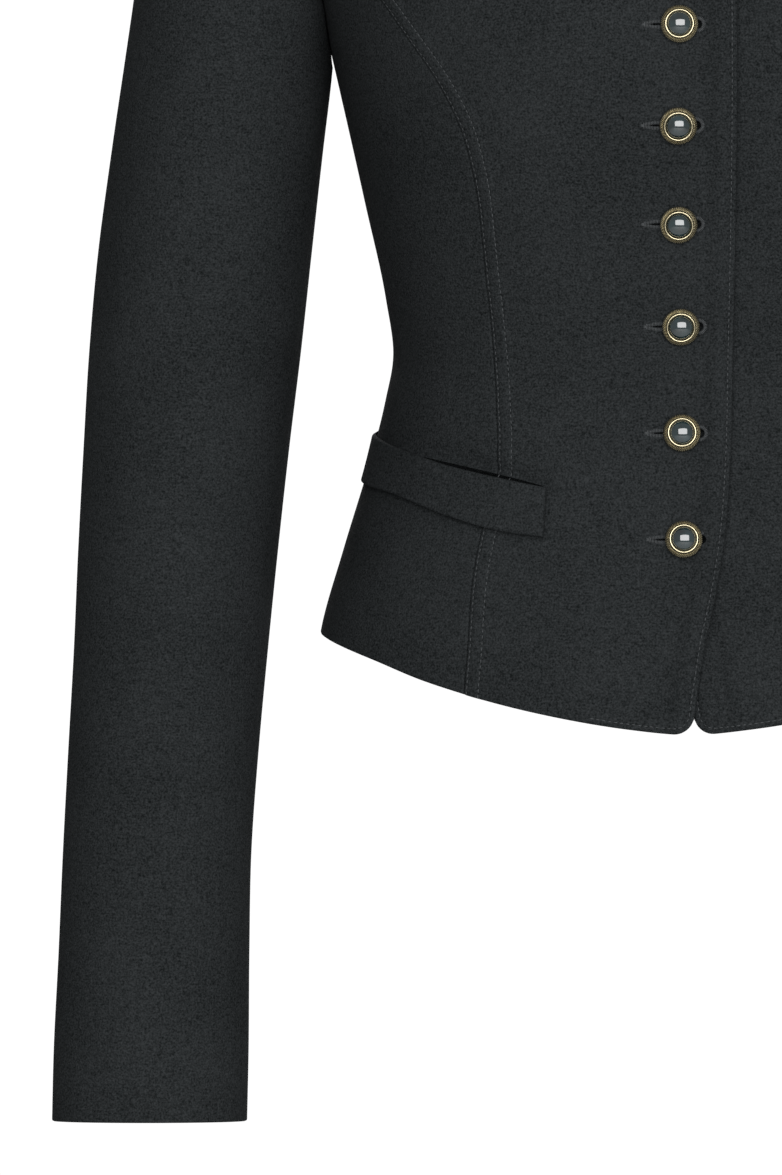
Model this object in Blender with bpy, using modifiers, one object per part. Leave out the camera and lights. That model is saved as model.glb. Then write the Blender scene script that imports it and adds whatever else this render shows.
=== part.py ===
"""A fitted, collarless dirndl jacket of boiled wool, worn shape, closed with nine buttons.

Metres, +Z up, the front towards -Y. The origin is on the centre plane at the height of the
neck points, where the wearer's shoulders carry the jacket.
"""

import math

import bmesh
import bpy
import numpy as np
from mathutils import Matrix, Vector

# Cloth
WALL = 0.0026  # thickness of the boiled wool
SEAM_GAP = 0.0003  # between two pieces at a seam
LAYER_GAP = 0.0011  # between two pieces that lie on each other
ROUNDNESS = 2.2  # 2 is an ellipse, more is squarer

# The body's level sections from the hem up
SECTIONS = (
    # height, half_width, front_depth, back_depth
    (-0.560, 0.1580, 0.1215, 0.1230),
    (-0.506, 0.1535, 0.1190, 0.1180),
    (-0.474, 0.1444, 0.1155, 0.1110),
    (-0.431, 0.1315, 0.1110, 0.1010),
    (-0.409, 0.1260, 0.1095, 0.0970),
    (-0.390, 0.1229, 0.1090, 0.0950),
    (-0.366, 0.1260, 0.1130, 0.0970),
    (-0.323, 0.1354, 0.1225, 0.1030),
    (-0.285, 0.1439, 0.1300, 0.1080),
    (-0.250, 0.1520, 0.1310, 0.1110),
    (-0.222, 0.1590, 0.1260, 0.1125),
    (-0.200, 0.1660, 0.1210, 0.1130),
    (-0.150, 0.1760, 0.1040, 0.1125),
    (-0.100, 0.1870, 0.0840, 0.1040),
    (-0.050, 0.2000, 0.0660, 0.0880),
    (0.000, 0.2100, 0.0500, 0.0720),
)

# Shoulder and neck
NECK_HALF_WIDTH = 0.073
NECK_FRONT_DROP = 0.108
NECK_BACK_DROP = 0.022
SHOULDER_X = 0.190
SHOULDER_Z = -0.048
SHOULDER_SEAM_Y = 0.008
SHOULDER_ROUND = 0.080  # height over which the shoulder rounds into front and back

# Seams of the body, from the hem up: how far they run from the centre plane
PRINCESS_SEAM = (
    # height, distance
    (-0.540, 0.0942),
    (-0.519, 0.0925),
    (-0.483, 0.0895),
    (-0.459, 0.0845),
    (-0.440, 0.0802),
    (-0.410, 0.0800),
    (-0.380, 0.0820),
    (-0.350, 0.0853),
    (-0.318, 0.0897),
    (-0.298, 0.0953),
    (-0.281, 0.1037),
    (-0.262, 0.1160),
    (-0.243, 0.1285),
    (-0.220, 0.1450),
    (-0.200, 0.1580),
)
BACK_SEAM = (
    # height, distance
    (-0.540, 0.0860),
    (-0.470, 0.0760),
    (-0.390, 0.0640),
    (-0.320, 0.0760),
    (-0.260, 0.1000),
    (-0.220, 0.1280),
    (-0.190, 0.1586),
)
SIDE_SEAM_ANGLE = math.radians(94)
HEM = (
    # angle_from_centre_front, height
    (-12, -0.5495),
    (0, -0.5512),
    (12, -0.5490),
    (30, -0.5420),
    (50, -0.5297),
    (62, -0.5205),
    (75, -0.5135),
    (94, -0.5085),
    (135, -0.5120),
    (180, -0.5170),
)

# Armhole, from the top of the seams up to the shoulder
FRONT_ARMHOLE = (
    # height, distance
    (-0.200, 0.1580),
    (-0.175, 0.1544),
    (-0.150, 0.1540),
    (-0.125, 0.1575),
    (-0.100, 0.1640),
    (-0.070, 0.1765),
    (-0.048, 0.1900),
)
BACK_ARMHOLE = (
    # height, distance
    (-0.190, 0.1586),
    (-0.165, 0.1565),
    (-0.140, 0.1570),
    (-0.110, 0.1630),
    (-0.080, 0.1730),
    (-0.048, 0.1900),
)
UNDERARM_Z = -0.222
UNDERARM_SHARPNESS = 2.6

# Front edge of the upper layer, from the hem up: how far it laps past the centre plane
FRONT_EDGE = (
    # height, lap
    (-0.560, 0.0015),
    (-0.543, 0.0023),
    (-0.526, 0.0048),
    (-0.513, 0.0069),
    (-0.494, 0.0111),
    (-0.470, 0.0150),
    (-0.433, 0.0178),
    (-0.400, 0.0186),
    (-0.090, 0.0186),
)
UNDER_EDGE_SHIFT = 0.0042  # the lower layer's edge mirrors the upper one's, moved by this
UNDERLAP_EASE = 0.026  # over this width the lower layer rises to the outer surface
CORNER_RADIUS = 0.0085
CUTTER_REACH = 0.006  # how far the corners' cutters reach past the cloth

# Sleeve, from the cuff up
SLEEVE = (
    # height, outer_edge, inner_edge, centre_y, half_depth
    (-0.7180, 0.2687, 0.1853, -0.0200, 0.0380),
    (-0.6890, 0.2681, 0.1847, -0.0180, 0.0385),
    (-0.6460, 0.2661, 0.1844, -0.0150, 0.0395),
    (-0.6030, 0.2644, 0.1836, -0.0110, 0.0410),
    (-0.5600, 0.2623, 0.1806, -0.0070, 0.0430),
    (-0.5170, 0.2601, 0.1767, -0.0020, 0.0455),
    (-0.4740, 0.2584, 0.1724, 0.0020, 0.0480),
    (-0.4310, 0.2562, 0.1677, 0.0040, 0.0500),
    (-0.3880, 0.2537, 0.1625, 0.0050, 0.0520),
    (-0.3450, 0.2498, 0.1578, 0.0050, 0.0540),
    (-0.3020, 0.2438, 0.1530, 0.0040, 0.0555),
    (-0.2700, 0.2390, 0.1492, 0.0030, 0.0565),
    (-0.2450, 0.2355, 0.1470, 0.0020, 0.0575),
)
SLEEVE_TOP_RING = -0.245
CUFF_Z = -0.718
CUFF_FRONT_LIFT = 0.0016
CUFF_HALF_DEPTH = 0.038
CAP_LEAVES = (0.080, 0.012, 0.050)  # how the cap leaves the armhole: outwards, forwards, down
CAP_OUT_FALLOFF = 0.68  # less makes the cap stand out further round
CAP_DOWN_LEAST = 0.4  # share of the downward pull left at the underarm
CAP_DOWN_FALLOFF = 0.3
CAP_TURN_FROM = 0.45  # above this share of the armhole the cap's end follows the body
CAP_TURN_OVER = 0.3
CAP_TURN_SECOND = 0.4  # and this much of it still in the next row
RING_STEP = 0.010  # height over which the sleeve's direction is read
ARMHOLE_STEP = 0.00035  # from the armhole's edge to the sleeve
SLEEVE_CLEARANCE = 0.0006  # between the sleeve and the body beside it
EDGE_ROOM = 0.002  # the sleeve also keeps clear this far above the armhole's edge

# Pocket welt
WELT_EDGE = (
    # angle_from_centre_front, top, bottom
    (29.3, -0.4487, -0.4693),
    (38.0, -0.4450, -0.4668),
    (48.0, -0.4405, -0.4612),
    (63.0, -0.4328, -0.4515),
    (79.0, -0.4262, -0.4463),
    (93.5, -0.4225, -0.4425),
)
WELT_GAP = 0.0007
WELT_STAND_OFF = 0.0012  # how far the pocket's mouth stands open

# Buttons, from the lowest up
BUTTONS = (
    # height, distance_from_centre
    (-0.4701, 0.0022),
    (-0.4258, 0.0028),
    (-0.3815, 0.0032),
    (-0.3393, 0.0044),
    (-0.2988, 0.0049),
    (-0.2571, 0.0046),
    (-0.2154, 0.0046),
    (-0.1737, 0.0046),
    (-0.1320, 0.0046),
)
BUTTON_SEAT = 0.0011  # the rim's back above the cloth
SHANK_GAP = 0.0008  # between the shank's end and the lower layer
RIM_PROFILE = (
    # radius, height above the rim's back, from the dome's seat round to the shank
    (0.0000, 0.0010),
    (0.0053, 0.0010),
    (0.0056, 0.0026),
    (0.0061, 0.0026),
    (0.0065, 0.0020),
    (0.0076, 0.0015),
    (0.0078, 0.0008),
    (0.0070, 0.0000),
    (0.0014, 0.0000),
)
CAP_RADIUS = 0.0050
CAP_SEAT = 0.0013  # the dome's flat back above the rim's back
CAP_HEIGHT = 0.0036
CAP_WALL = 0.0004  # upright edge beneath the dome
BUTTON_SIDES = 18

# Buttonholes, along the hole from the button's centre towards the front edge
SLIT_START = -0.0137
SLIT_HALF_WIDTH = 0.00045
SHANK_HOLE_RADIUS = 0.0025
EYELET_CENTRE = 0.0075
EYELET_RADIUS = 0.0019

# Rows and columns of the panels
SEAM_ROWS = 15
ARMHOLE_ROWS = 8
PANEL_COLUMNS = 9
NECK_SIDES = 24  # straight stretches in half the neckline
SIDE_COLUMNS = 4
CAP_ROWS = 6
SLEEVE_ROWS = 12
FRONT_SEAM_COLUMN = 11  # the sleeve's front seam, counted from the shoulder round the front
BACK_SEAM_COLUMN = 17
WELT_COLUMNS = 10

STEP = 1e-5  # small move along a surface that gives its normal


def read(rows, at):
    """The columns of a table, read smoothly at heights or angles; its first column rises."""
    rows = np.array(rows, float)
    where, values = rows[:, 0], rows[:, 1:]
    slopes = np.gradient(values, where, axis=0)
    at = np.clip(np.asarray(at, float), where[0], where[-1])
    i = np.clip(np.searchsorted(where, at) - 1, 0, len(where) - 2)
    width = (where[i + 1] - where[i])[..., None]
    t = (at - where[i])[..., None] / width
    low = values[i] * (1 + 2 * t) + slopes[i] * width * t
    high = values[i + 1] * (3 - 2 * t) - slopes[i + 1] * width * (1 - t)
    return np.moveaxis(low * (1 - t) ** 2 + high * t**2, -1, 0)


def shoulder_z(x):
    """Height of the shoulder line, carried on towards the centre plane."""
    slope = SHOULDER_Z / (SHOULDER_X - NECK_HALF_WIDTH)
    return slope * (np.abs(x) - NECK_HALF_WIDTH)


def drop_of(x, z):
    """How far down the cloth a height lies from the shoulder line, round the shoulder."""
    down = shoulder_z(x) - z
    turn = np.arccos(np.clip(1 - down / SHOULDER_ROUND, 0, 1))
    below = np.maximum(down - SHOULDER_ROUND, 0)
    return np.where(down < SHOULDER_ROUND, turn * SHOULDER_ROUND, SHOULDER_ROUND * math.pi / 2 + below)


def height_of(x, drop):
    """The height that lies this far down the cloth from the shoulder line."""
    turn = np.minimum(drop / SHOULDER_ROUND, math.pi / 2)
    below = np.maximum(drop - SHOULDER_ROUND * math.pi / 2, 0)
    return shoulder_z(x) - SHOULDER_ROUND * (1 - np.cos(turn)) - below


def body_by_drop(x, drop, back):
    """Points of the body's outer surface, from the distance to the side and down the cloth."""
    z = height_of(x, drop)
    half_width, front, rear = read(SECTIONS, z)
    share = np.clip(np.abs(x) / half_width, 0, 1)
    depth = (1 - share**ROUNDNESS) ** (1 / ROUNDNESS)
    chest = np.where(back, rear, -front) * depth
    turn = np.minimum(drop / SHOULDER_ROUND, math.pi / 2)
    y = SHOULDER_SEAM_Y + (chest - SHOULDER_SEAM_Y) * np.sin(turn)
    return np.stack([x, y, z], axis=-1)


def body_by_angle(angle, z):
    """Points of the body's outer surface, from the angle off the centre front and the height."""
    half_width, front, rear = read(SECTIONS, z)
    depth = np.where(np.cos(angle) > 0, front, rear)
    across = np.abs(np.sin(angle) / half_width) ** ROUNDNESS
    along = np.abs(np.cos(angle) / depth) ** ROUNDNESS
    reach = (across + along) ** (-1 / ROUNDNESS)
    return np.stack([reach * np.sin(angle), -reach * np.cos(angle), z + 0 * angle], axis=-1)


def normals_of(surface, u, v):
    """Unit normals of a surface given by two coordinates."""
    along_u = surface(u + STEP, v) - surface(u - STEP, v)
    along_v = surface(u, v + STEP) - surface(u, v - STEP)
    normal = np.cross(along_u, along_v)
    return normal / np.linalg.norm(normal, axis=-1, keepdims=True)


def evenly(points, count):
    """Places along a run of points that cut it into equal lengths, as positions in the run."""
    lengths = np.linalg.norm(np.diff(points, axis=0), axis=1)
    run = np.concatenate([[0], np.cumsum(lengths)])
    return np.interp(np.linspace(0, run[-1], count + 1), run, np.linspace(0, 1, len(points)))


def patch(left, right, bottom, top):
    """A sheet of plane coordinates between four edges, rows from the bottom up."""
    s = np.linspace(0, 1, len(bottom))[None, :, None]
    t = np.linspace(0, 1, len(left))[:, None, None]
    sides = (1 - s) * left[:, None] + s * right[:, None]
    ends = (1 - t) * bottom[None] + t * top[None]
    lower = (1 - s) * bottom[0] + s * bottom[-1]
    upper = (1 - s) * top[0] + s * top[-1]
    return sides + ends - (1 - t) * lower - t * upper


def hem_z(angle):
    return read(HEM, np.degrees(angle))[0]


def seam_foot(seam, back):
    """Where a body seam meets the hem."""
    z = -0.52
    for _ in range(20):
        distance = read(seam, z)[0]
        x, y, _ = body_by_drop(distance, drop_of(distance, z), back)
        z = hem_z(np.arctan2(x, -y))
    return float(z)


def seam_run(seam, back):
    """Distance and height along a body seam, from the hem to the armhole."""
    z = np.linspace(seam_foot(seam, back), seam[-1][0], SEAM_ROWS + 1)
    return np.stack([read(seam, z)[0], z], axis=-1)


def armhole_run(armhole, back):
    """Distance and height along the upper armhole, from the seam's top to the shoulder."""
    z = np.linspace(armhole[0][0], armhole[-1][0], 400)
    x = read(armhole, z)[0]
    drop = drop_of(x, z)
    drop[-1] = 0
    spot = evenly(body_by_drop(x, drop, back), ARMHOLE_ROWS)
    z = np.interp(spot, np.linspace(0, 1, len(z)), z)
    return np.stack([read(armhole, z)[0], z], axis=-1)


def to_drop(run):
    """Turns heights into lengths down the cloth."""
    drop = drop_of(run[:, 0], run[:, 1])
    return np.stack([run[:, 0], drop], axis=-1)


def underarm_z(angle, seam_angle, seam_top):
    """Height of the armhole's lower part between a body seam and the side seam."""
    share = np.clip((SIDE_SEAM_ANGLE - angle) / (SIDE_SEAM_ANGLE - seam_angle), 0, 1)
    return UNDERARM_Z + (seam_top - UNDERARM_Z) * share**UNDERARM_SHARPNESS


def material(name, color, roughness, metallic):
    """A plain finish."""
    made = bpy.data.materials.new(name)
    made.use_nodes = True
    shader = made.node_tree.nodes["Principled BSDF"]
    shader.inputs["Base Color"].default_value = (*color, 1)
    shader.inputs["Roughness"].default_value = roughness
    shader.inputs["Metallic"].default_value = metallic
    return made


def add_object(name, mesh, finish, collection):
    """Puts a mesh into the jacket as its own piece."""
    piece = bpy.data.objects.new(name, mesh)
    if finish:
        mesh.materials.append(finish)
    collection.objects.link(piece)
    return piece


def add_cloth(name, outer, normals, mirrored, finish, collection, folded=False):
    """A closed wall of cloth: the outer sheet, the same sheet a wall's thickness inside, and the edges.

    A half that is to be mirrored stays open along its first column.
    """
    rows, columns = outer.shape[:2]
    inner = outer - normals * WALL
    points = np.concatenate([outer.reshape(-1, 3), inner.reshape(-1, 3)])
    if mirrored:
        points = points * (-1, 1, 1)
    mesh = bpy.data.meshes.new(name)
    bm = bmesh.new()
    verts = [bm.verts.new(p) for p in points]
    under = rows * columns

    def at(row, column, layer=0):
        return verts[row * columns + column + layer]

    for row in range(rows - 1):
        for column in range(columns - 1):
            corners = (row, column), (row, column + 1), (row + 1, column + 1), (row + 1, column)
            bm.faces.new([at(*c) for c in corners])
            bm.faces.new([at(*c, under) for c in reversed(corners)])
    edge = [(0, c) for c in range(columns)] + [(r, columns - 1) for r in range(1, rows)]
    edge += [(rows - 1, c) for c in range(columns - 2, -1, -1)] + [(r, 0) for r in range(rows - 2, 0, -1)]
    for here, there in zip(edge, edge[1:] + edge[:1]):
        if folded and here[1] == there[1] == 0:
            continue
        bm.faces.new([at(*there), at(*here), at(*here, under), at(*there, under)])
    bmesh.ops.recalc_face_normals(bm, faces=bm.faces)
    bm.to_mesh(mesh)
    bm.free()
    mesh.shade_smooth()
    mesh.set_sharp_from_angle(angle=math.radians(50))
    return add_object(name, mesh, finish, collection)


def front_edge_x(z, upper_layer):
    """Distance of the front edge from the centre plane, negative past it."""
    lap = read(FRONT_EDGE, z)[0]
    return -lap if upper_layer else -(lap - UNDER_EDGE_SHIFT)


def panel_sheet(seam, armhole, edge_x, back):
    """Distances and drops of a panel between its edge, the shoulder line and a body seam.

    It runs up over the neck opening, which is cut out of it afterwards.
    """
    half = SEAM_GAP / 2
    right = seam_run(seam, back)
    right[:, 0] -= half
    right = to_drop(np.concatenate([right, armhole_run(armhole, back)[1:]]))
    right[-1, 1] = half
    foot_z = float(hem_z(math.pi if back else 0.0))
    down = np.linspace(float(drop_of(0.0, foot_z)), half, len(right))
    edge = edge_x(height_of(0.0, down))
    edge = edge_x(height_of(edge, down))
    left = np.stack([edge, down], axis=-1)
    along_shoulder = np.linspace(edge[-1], SHOULDER_X, PANEL_COLUMNS + 1)
    top = np.stack([along_shoulder, np.full(len(along_shoulder), half)], axis=-1)
    x = np.linspace(edge[0], right[0, 0], len(top))
    foot = body_by_drop(x, drop_of(x, np.full_like(x, foot_z)), back)
    hem = hem_z(np.arctan2(foot[:, 0], -foot[:, 1]))
    bottom = to_drop(np.stack([x, hem], axis=-1))
    bottom[-1] = right[0]
    left[0] = bottom[0]
    return patch(left, right, bottom, top)


def add_front(name, upper_layer, mirrored, finish, collection):
    """A centre front, on the outer surface or beneath the other one at the closing."""
    sheet = panel_sheet(
        PRINCESS_SEAM, FRONT_ARMHOLE, lambda z: front_edge_x(z, upper_layer), False
    )
    x, drop = sheet[..., 0], sheet[..., 1]
    outer = body_by_drop(x, drop, False)
    normals = -normals_of(lambda u, v: body_by_drop(u, v, False), x, drop)
    if not upper_layer:
        lap = read(FRONT_EDGE, outer[..., 2])[0]
        share = np.clip((x - lap) / UNDERLAP_EASE, 0, 1)
        sunk = (WALL + LAYER_GAP) * (1 - share * share * (3 - 2 * share))
        outer = outer - normals * sunk[..., None]
    return add_cloth(name, outer, normals, mirrored, finish, collection)


def side_sheet(seam, back):
    """Angles and heights of a side panel, from the body seam to the side seam."""
    run = seam_run(seam, back)
    x, y, _ = body_by_drop(run[:, 0], to_drop(run)[:, 1], back).T
    first = np.arctan2(x, -y)
    side_z = np.linspace(float(hem_z(SIDE_SEAM_ANGLE)), UNDERARM_Z, len(run))
    near = np.stack([first, run[:, 1]], axis=-1)
    far = np.stack([np.full(len(run), SIDE_SEAM_ANGLE), side_z], axis=-1)
    foot = np.linspace(first[0], SIDE_SEAM_ANGLE, SIDE_COLUMNS + 1)
    bottom = np.stack([foot, hem_z(foot)], axis=-1)
    arm = np.linspace(first[-1], SIDE_SEAM_ANGLE, 100)
    arm_z = underarm_z(arm, first[-1], run[-1, 1])
    spot = evenly(body_by_angle(arm, arm_z), SIDE_COLUMNS)
    arm = np.interp(spot, np.linspace(0, 1, len(arm)), arm)
    top = np.stack([arm, underarm_z(arm, first[-1], run[-1, 1])], axis=-1)
    bottom[0], bottom[-1], top[0], top[-1] = near[0], far[0], near[-1], far[-1]
    return patch(near, far, bottom, top)


def inset_by_angle(sheet):
    """Draws the first and last columns in by half a seam gap."""
    sheet = sheet.copy()
    for column, inward in ((0, 1), (-1, -1)):
        way = np.sign(sheet[0, -1, 0] - sheet[0, 0, 0]) * inward
        point = body_by_angle(sheet[:, column, 0], sheet[:, column, 1])
        reach = np.hypot(point[:, 0], point[:, 1])
        sheet[:, column, 0] += way * SEAM_GAP / 2 / reach
    return sheet


def add_side(name, seam, back, mirrored, finish, collection):
    """A side front or side back panel."""
    sheet = inset_by_angle(side_sheet(seam, back))
    angle, z = sheet[..., 0], sheet[..., 1]
    outer = body_by_angle(angle, z)
    normals = normals_of(body_by_angle, angle, z)
    return add_cloth(name, outer, normals, mirrored, finish, collection)


def add_back(name, finish, collection):
    """The back, cut in one piece on the fold and mirrored at it."""
    sheet = panel_sheet(BACK_SEAM, BACK_ARMHOLE, lambda z: 0 * z, True)
    x, drop = sheet[..., 0], sheet[..., 1]
    outer = body_by_drop(x, drop, True)
    normals = normals_of(lambda u, v: body_by_drop(u, v, True), x, drop)
    back = add_cloth(name, outer, normals, False, finish, collection, folded=True)
    mirror = back.modifiers.new("fold", "MIRROR")
    mirror.use_axis[0] = True
    mirror.merge_threshold = 0.00002
    return back


def armhole_loop():
    """The armhole's points from the shoulder round the front and back, with the cloth's normals."""
    points, normals = [], []
    for armhole, seam, back in ((FRONT_ARMHOLE, PRINCESS_SEAM, False), (BACK_ARMHOLE, BACK_SEAM, True)):
        run = to_drop(armhole_run(armhole, back))[::-1]
        run[0, 1] = 0
        upper = body_by_drop(run[:, 0], run[:, 1], back)
        sign = 1 if back else -1
        tilt = sign * normals_of(lambda u, v: body_by_drop(u, v, back), run[:, 0], run[:, 1] + STEP)
        low = side_sheet(seam, back)[-1]
        lower = body_by_angle(low[:, 0], low[:, 1])
        lower_tilt = normals_of(body_by_angle, low[:, 0], low[:, 1])
        points.append(np.concatenate([upper, lower[1:]]))
        normals.append(np.concatenate([tilt, lower_tilt[1:]]))
    loop = np.concatenate([points[0], points[1][-2:0:-1]])
    out = np.concatenate([normals[0], normals[1][-2:0:-1]])
    return loop, out


def sleeve_ring(theta, z):
    """Points round the sleeve at a height, 0 at the outer side, a quarter turn at the front."""
    outer, inner, centre_y, half_depth = read(SLEEVE, z)
    centre, half = (outer + inner) / 2, (outer - inner) / 2
    x = centre + half * np.cos(theta)
    y = centre_y - half_depth * np.sin(theta)
    return np.stack([x, y, z + 0 * theta], axis=-1)


def keep_clear(points, front_top, back_top):
    """Moves the sleeve's points out of the body beside it, given where the body seams end above."""
    points = points.copy()
    angle = np.arctan2(points[..., 0], -points[..., 1])
    edge = np.where(
        angle < SIDE_SEAM_ANGLE, underarm_z(angle, *front_top), underarm_z(angle, *back_top)
    )
    body = body_by_angle(angle, points[..., 2])
    reach = np.hypot(body[..., 0], body[..., 1]) + SLEEVE_CLEARANCE
    mine = np.hypot(points[..., 0], points[..., 1])
    beside = (points[..., 2] < edge + EDGE_ROOM) & (mine < reach)
    grow = np.where(beside, reach / mine, 1)
    points[..., 0] *= grow
    points[..., 1] *= grow
    return points


def sleeve_sheet():
    """The sleeve's outer points and normals: rows from the armhole down, columns round it.

    Near the shoulder the cap's end takes the body's own normals, so the two walls meet end to end.
    """
    loop, out = armhole_loop()
    ahead = np.roll(loop, -1, axis=0) - np.roll(loop, 1, axis=0)
    away = np.cross(out, ahead)
    away /= np.linalg.norm(away, axis=1, keepdims=True)
    low = (1 - (loop[:, 2] - UNDERARM_Z) / (SHOULDER_Z - UNDERARM_Z))[:, None]
    start = loop + ARMHOLE_STEP * away + ARMHOLE_STEP * low * out
    lengths = np.linalg.norm(np.diff(np.vstack([loop, loop[:1]]), axis=0), axis=1)
    run = np.concatenate([[0], np.cumsum(lengths)])
    bottom = SIDE_COLUMNS + ARMHOLE_ROWS
    places = np.where(
        np.arange(len(loop)) <= bottom,
        run[:-1] / run[bottom] * math.pi,
        math.pi + (run[:-1] - run[bottom]) / (run[-1] - run[bottom]) * math.pi,
    )
    ring = sleeve_ring(places, SLEEVE_TOP_RING)
    below = sleeve_ring(places, SLEEVE_TOP_RING - RING_STEP)
    flow = (below - ring) / RING_STEP
    drop = np.abs(start[:, 2] - ring[:, 2])[:, None]
    high = ((1 + np.cos(places)) / 2)[:, None]
    leave = np.concatenate(
        [
            CAP_LEAVES[0] * high**CAP_OUT_FALLOFF,
            -CAP_LEAVES[1] * np.sin(places)[:, None],
            -CAP_LEAVES[2] * (CAP_DOWN_LEAST + (1 - CAP_DOWN_LEAST) * high**CAP_DOWN_FALLOFF),
        ],
        axis=1,
    )
    rows = []
    for t in np.linspace(0, 1, CAP_ROWS + 1):
        from_start = start * (1 + 2 * t) * (1 - t) ** 2 + leave * t * (1 - t) ** 2
        to_ring = ring * t * t * (3 - 2 * t) - flow * drop * t * t * (1 - t)
        rows.append(from_start + to_ring)
    for z in np.linspace(SLEEVE_TOP_RING, CUFF_Z, SLEEVE_ROWS + 1)[1:]:
        level = sleeve_ring(places, z)
        share = np.clip((SLEEVE_TOP_RING - z) / (SLEEVE_TOP_RING - CUFF_Z), 0, 1) ** 4
        centre_y = read(SLEEVE, z)[2]
        level[:, 2] += share * CUFF_FRONT_LIFT * (centre_y - level[:, 1]) / CUFF_HALF_DEPTH
        rows.append(level)
    sheet = np.array(rows)
    front_top = side_sheet(PRINCESS_SEAM, False)[-1, 0]
    back_top = side_sheet(BACK_SEAM, True)[-1, 0]
    sheet[1:] = keep_clear(sheet[1:], front_top, back_top)
    normals = sheet_normals(sheet)
    level = np.clip((high - CAP_TURN_FROM) / CAP_TURN_OVER, 0, 1)
    for row, part in ((0, 1.0), (1, CAP_TURN_SECOND)):
        tilt = normals[row] * (1 - level * part) + out * level * part
        normals[row] = tilt / np.linalg.norm(tilt, axis=1, keepdims=True)
    return sheet, normals


def sheet_normals(sheet):
    """Normals of a tube's sheet, from its neighbouring rows and columns."""
    round_it = np.roll(sheet, -1, axis=1) - np.roll(sheet, 1, axis=1)
    down = np.gradient(sheet, axis=0)
    normal = np.cross(round_it, down)
    return normal / np.linalg.norm(normal, axis=-1, keepdims=True)


def add_sleeve(side, mirrored, finish, collection):
    """A two-piece sleeve, its upper piece round the outside and its under piece inside."""
    sheet, normals = sleeve_sheet()
    count = sheet.shape[1]
    around = {
        "upper": list(range(BACK_SEAM_COLUMN, count)) + list(range(FRONT_SEAM_COLUMN + 1)),
        "under": list(range(FRONT_SEAM_COLUMN, BACK_SEAM_COLUMN + 1)),
    }
    for part, columns in around.items():
        outer = sheet[:, columns].copy()
        tilt = normals[:, columns]
        for edge, inward in ((0, 1), (-1, -2)):
            way = outer[:, inward] - outer[:, edge]
            way /= np.linalg.norm(way, axis=1, keepdims=True)
            outer[:, edge] += way * SEAM_GAP / 2
        add_cloth(f"sleeve_{part}_{side}", outer, tilt, mirrored, finish, collection)


def add_welt(side, mirrored, finish, collection):
    """A pocket welt, made from the panels' points moved out."""
    angle = np.radians(np.linspace(WELT_EDGE[0][0], WELT_EDGE[-1][0], WELT_COLUMNS + 1))
    top, bottom = read(WELT_EDGE, np.degrees(angle))
    share = np.linspace(0, 1, 3)[:, None]
    z = bottom + (top - bottom) * share
    angle = np.broadcast_to(angle, z.shape)
    normals = normals_of(body_by_angle, angle, z)
    bow = np.sin(np.linspace(0, 1, WELT_COLUMNS + 1) * math.pi)[None] * share
    lift = WELT_GAP + WALL + WELT_STAND_OFF * bow
    outer = body_by_angle(angle, z) + normals * lift[..., None]
    add_cloth(f"welt_{side}", outer, normals, mirrored, finish, collection)


def button_place(height, distance):
    """Where a button stands on the upper front: a matrix with its axis along the cloth's normal."""
    x, z = np.array(distance), np.array(height)
    drop = drop_of(x, z)
    point = body_by_drop(x, drop, False)
    normal = -normals_of(lambda u, v: body_by_drop(u, v, False), x, drop)
    axis = Vector(normal * (-1, 1, 1))
    across = Vector((1, 0, 0))
    across = (across - axis * across.dot(axis)).normalized()
    turn = Matrix((across, axis.cross(across), axis)).transposed().to_4x4()
    return Matrix.Translation(Vector(point * (-1, 1, 1))) @ turn


def add_turned(name, profile, place, finish, collection):
    """A turned piece: its profile runs down the outer side and is screwed round the Z axis."""
    mesh = bpy.data.meshes.new(name)
    points = [(radius, 0, height) for radius, height in profile]
    mesh.from_pydata(points, [(i, i + 1) for i in range(len(points) - 1)], [])
    piece = add_object(name, mesh, finish, collection)
    screw = piece.modifiers.new("turn", "SCREW")
    screw.steps = BUTTON_SIDES
    screw.render_steps = BUTTON_SIDES
    screw.use_merge_vertices = True
    screw.merge_threshold = 0.00002
    screw.use_smooth_shade = True
    piece.matrix_world = place
    return piece


def add_buttons(brass, pearl, collection):
    """Nine buttons: a brass rim with its shank, and the dome set in it."""
    shank_end = -(BUTTON_SEAT + WALL + LAYER_GAP - SHANK_GAP)
    rim = RIM_PROFILE + ((0.0014, shank_end), (0.0, shank_end))
    turns = np.linspace(0, math.pi / 2, 4)
    wall = CAP_SEAT + CAP_WALL
    dome = [(CAP_RADIUS * math.sin(t), wall + CAP_HEIGHT * math.cos(t)) for t in turns]
    dome[0] = (0.0, dome[0][1])
    dome += [(CAP_RADIUS, CAP_SEAT), (0.0, CAP_SEAT)]
    for number, (height, distance) in enumerate(BUTTONS, 1):
        place = button_place(height, distance) @ Matrix.Translation((0, 0, BUTTON_SEAT))
        add_turned(f"button_rim_{number}", rim, place, brass, collection)
        add_turned(f"button_cap_{number}", dome, place, pearl, collection)


def arc(centre, radius, first, last, count):
    """Points on an arc in a flat outline."""
    return [
        (centre + radius * math.cos(turn), radius * math.sin(turn))
        for turn in np.linspace(first, last, count)
    ]


def keyhole():
    """Flat outline of a buttonhole: slit, room for the shank, eyelet."""
    shank = math.asin(SLIT_HALF_WIDTH / SHANK_HOLE_RADIUS)
    eye = math.asin(SLIT_HALF_WIDTH / EYELET_RADIUS)
    upper = [(SLIT_START, SLIT_HALF_WIDTH)]
    upper += arc(0, SHANK_HOLE_RADIUS, math.pi - shank, shank, 6)
    upper += arc(EYELET_CENTRE, EYELET_RADIUS, math.pi - eye, 0, 6)
    lower = [(x, -y) for x, y in reversed(upper[:-1])]
    return upper + lower


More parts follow.
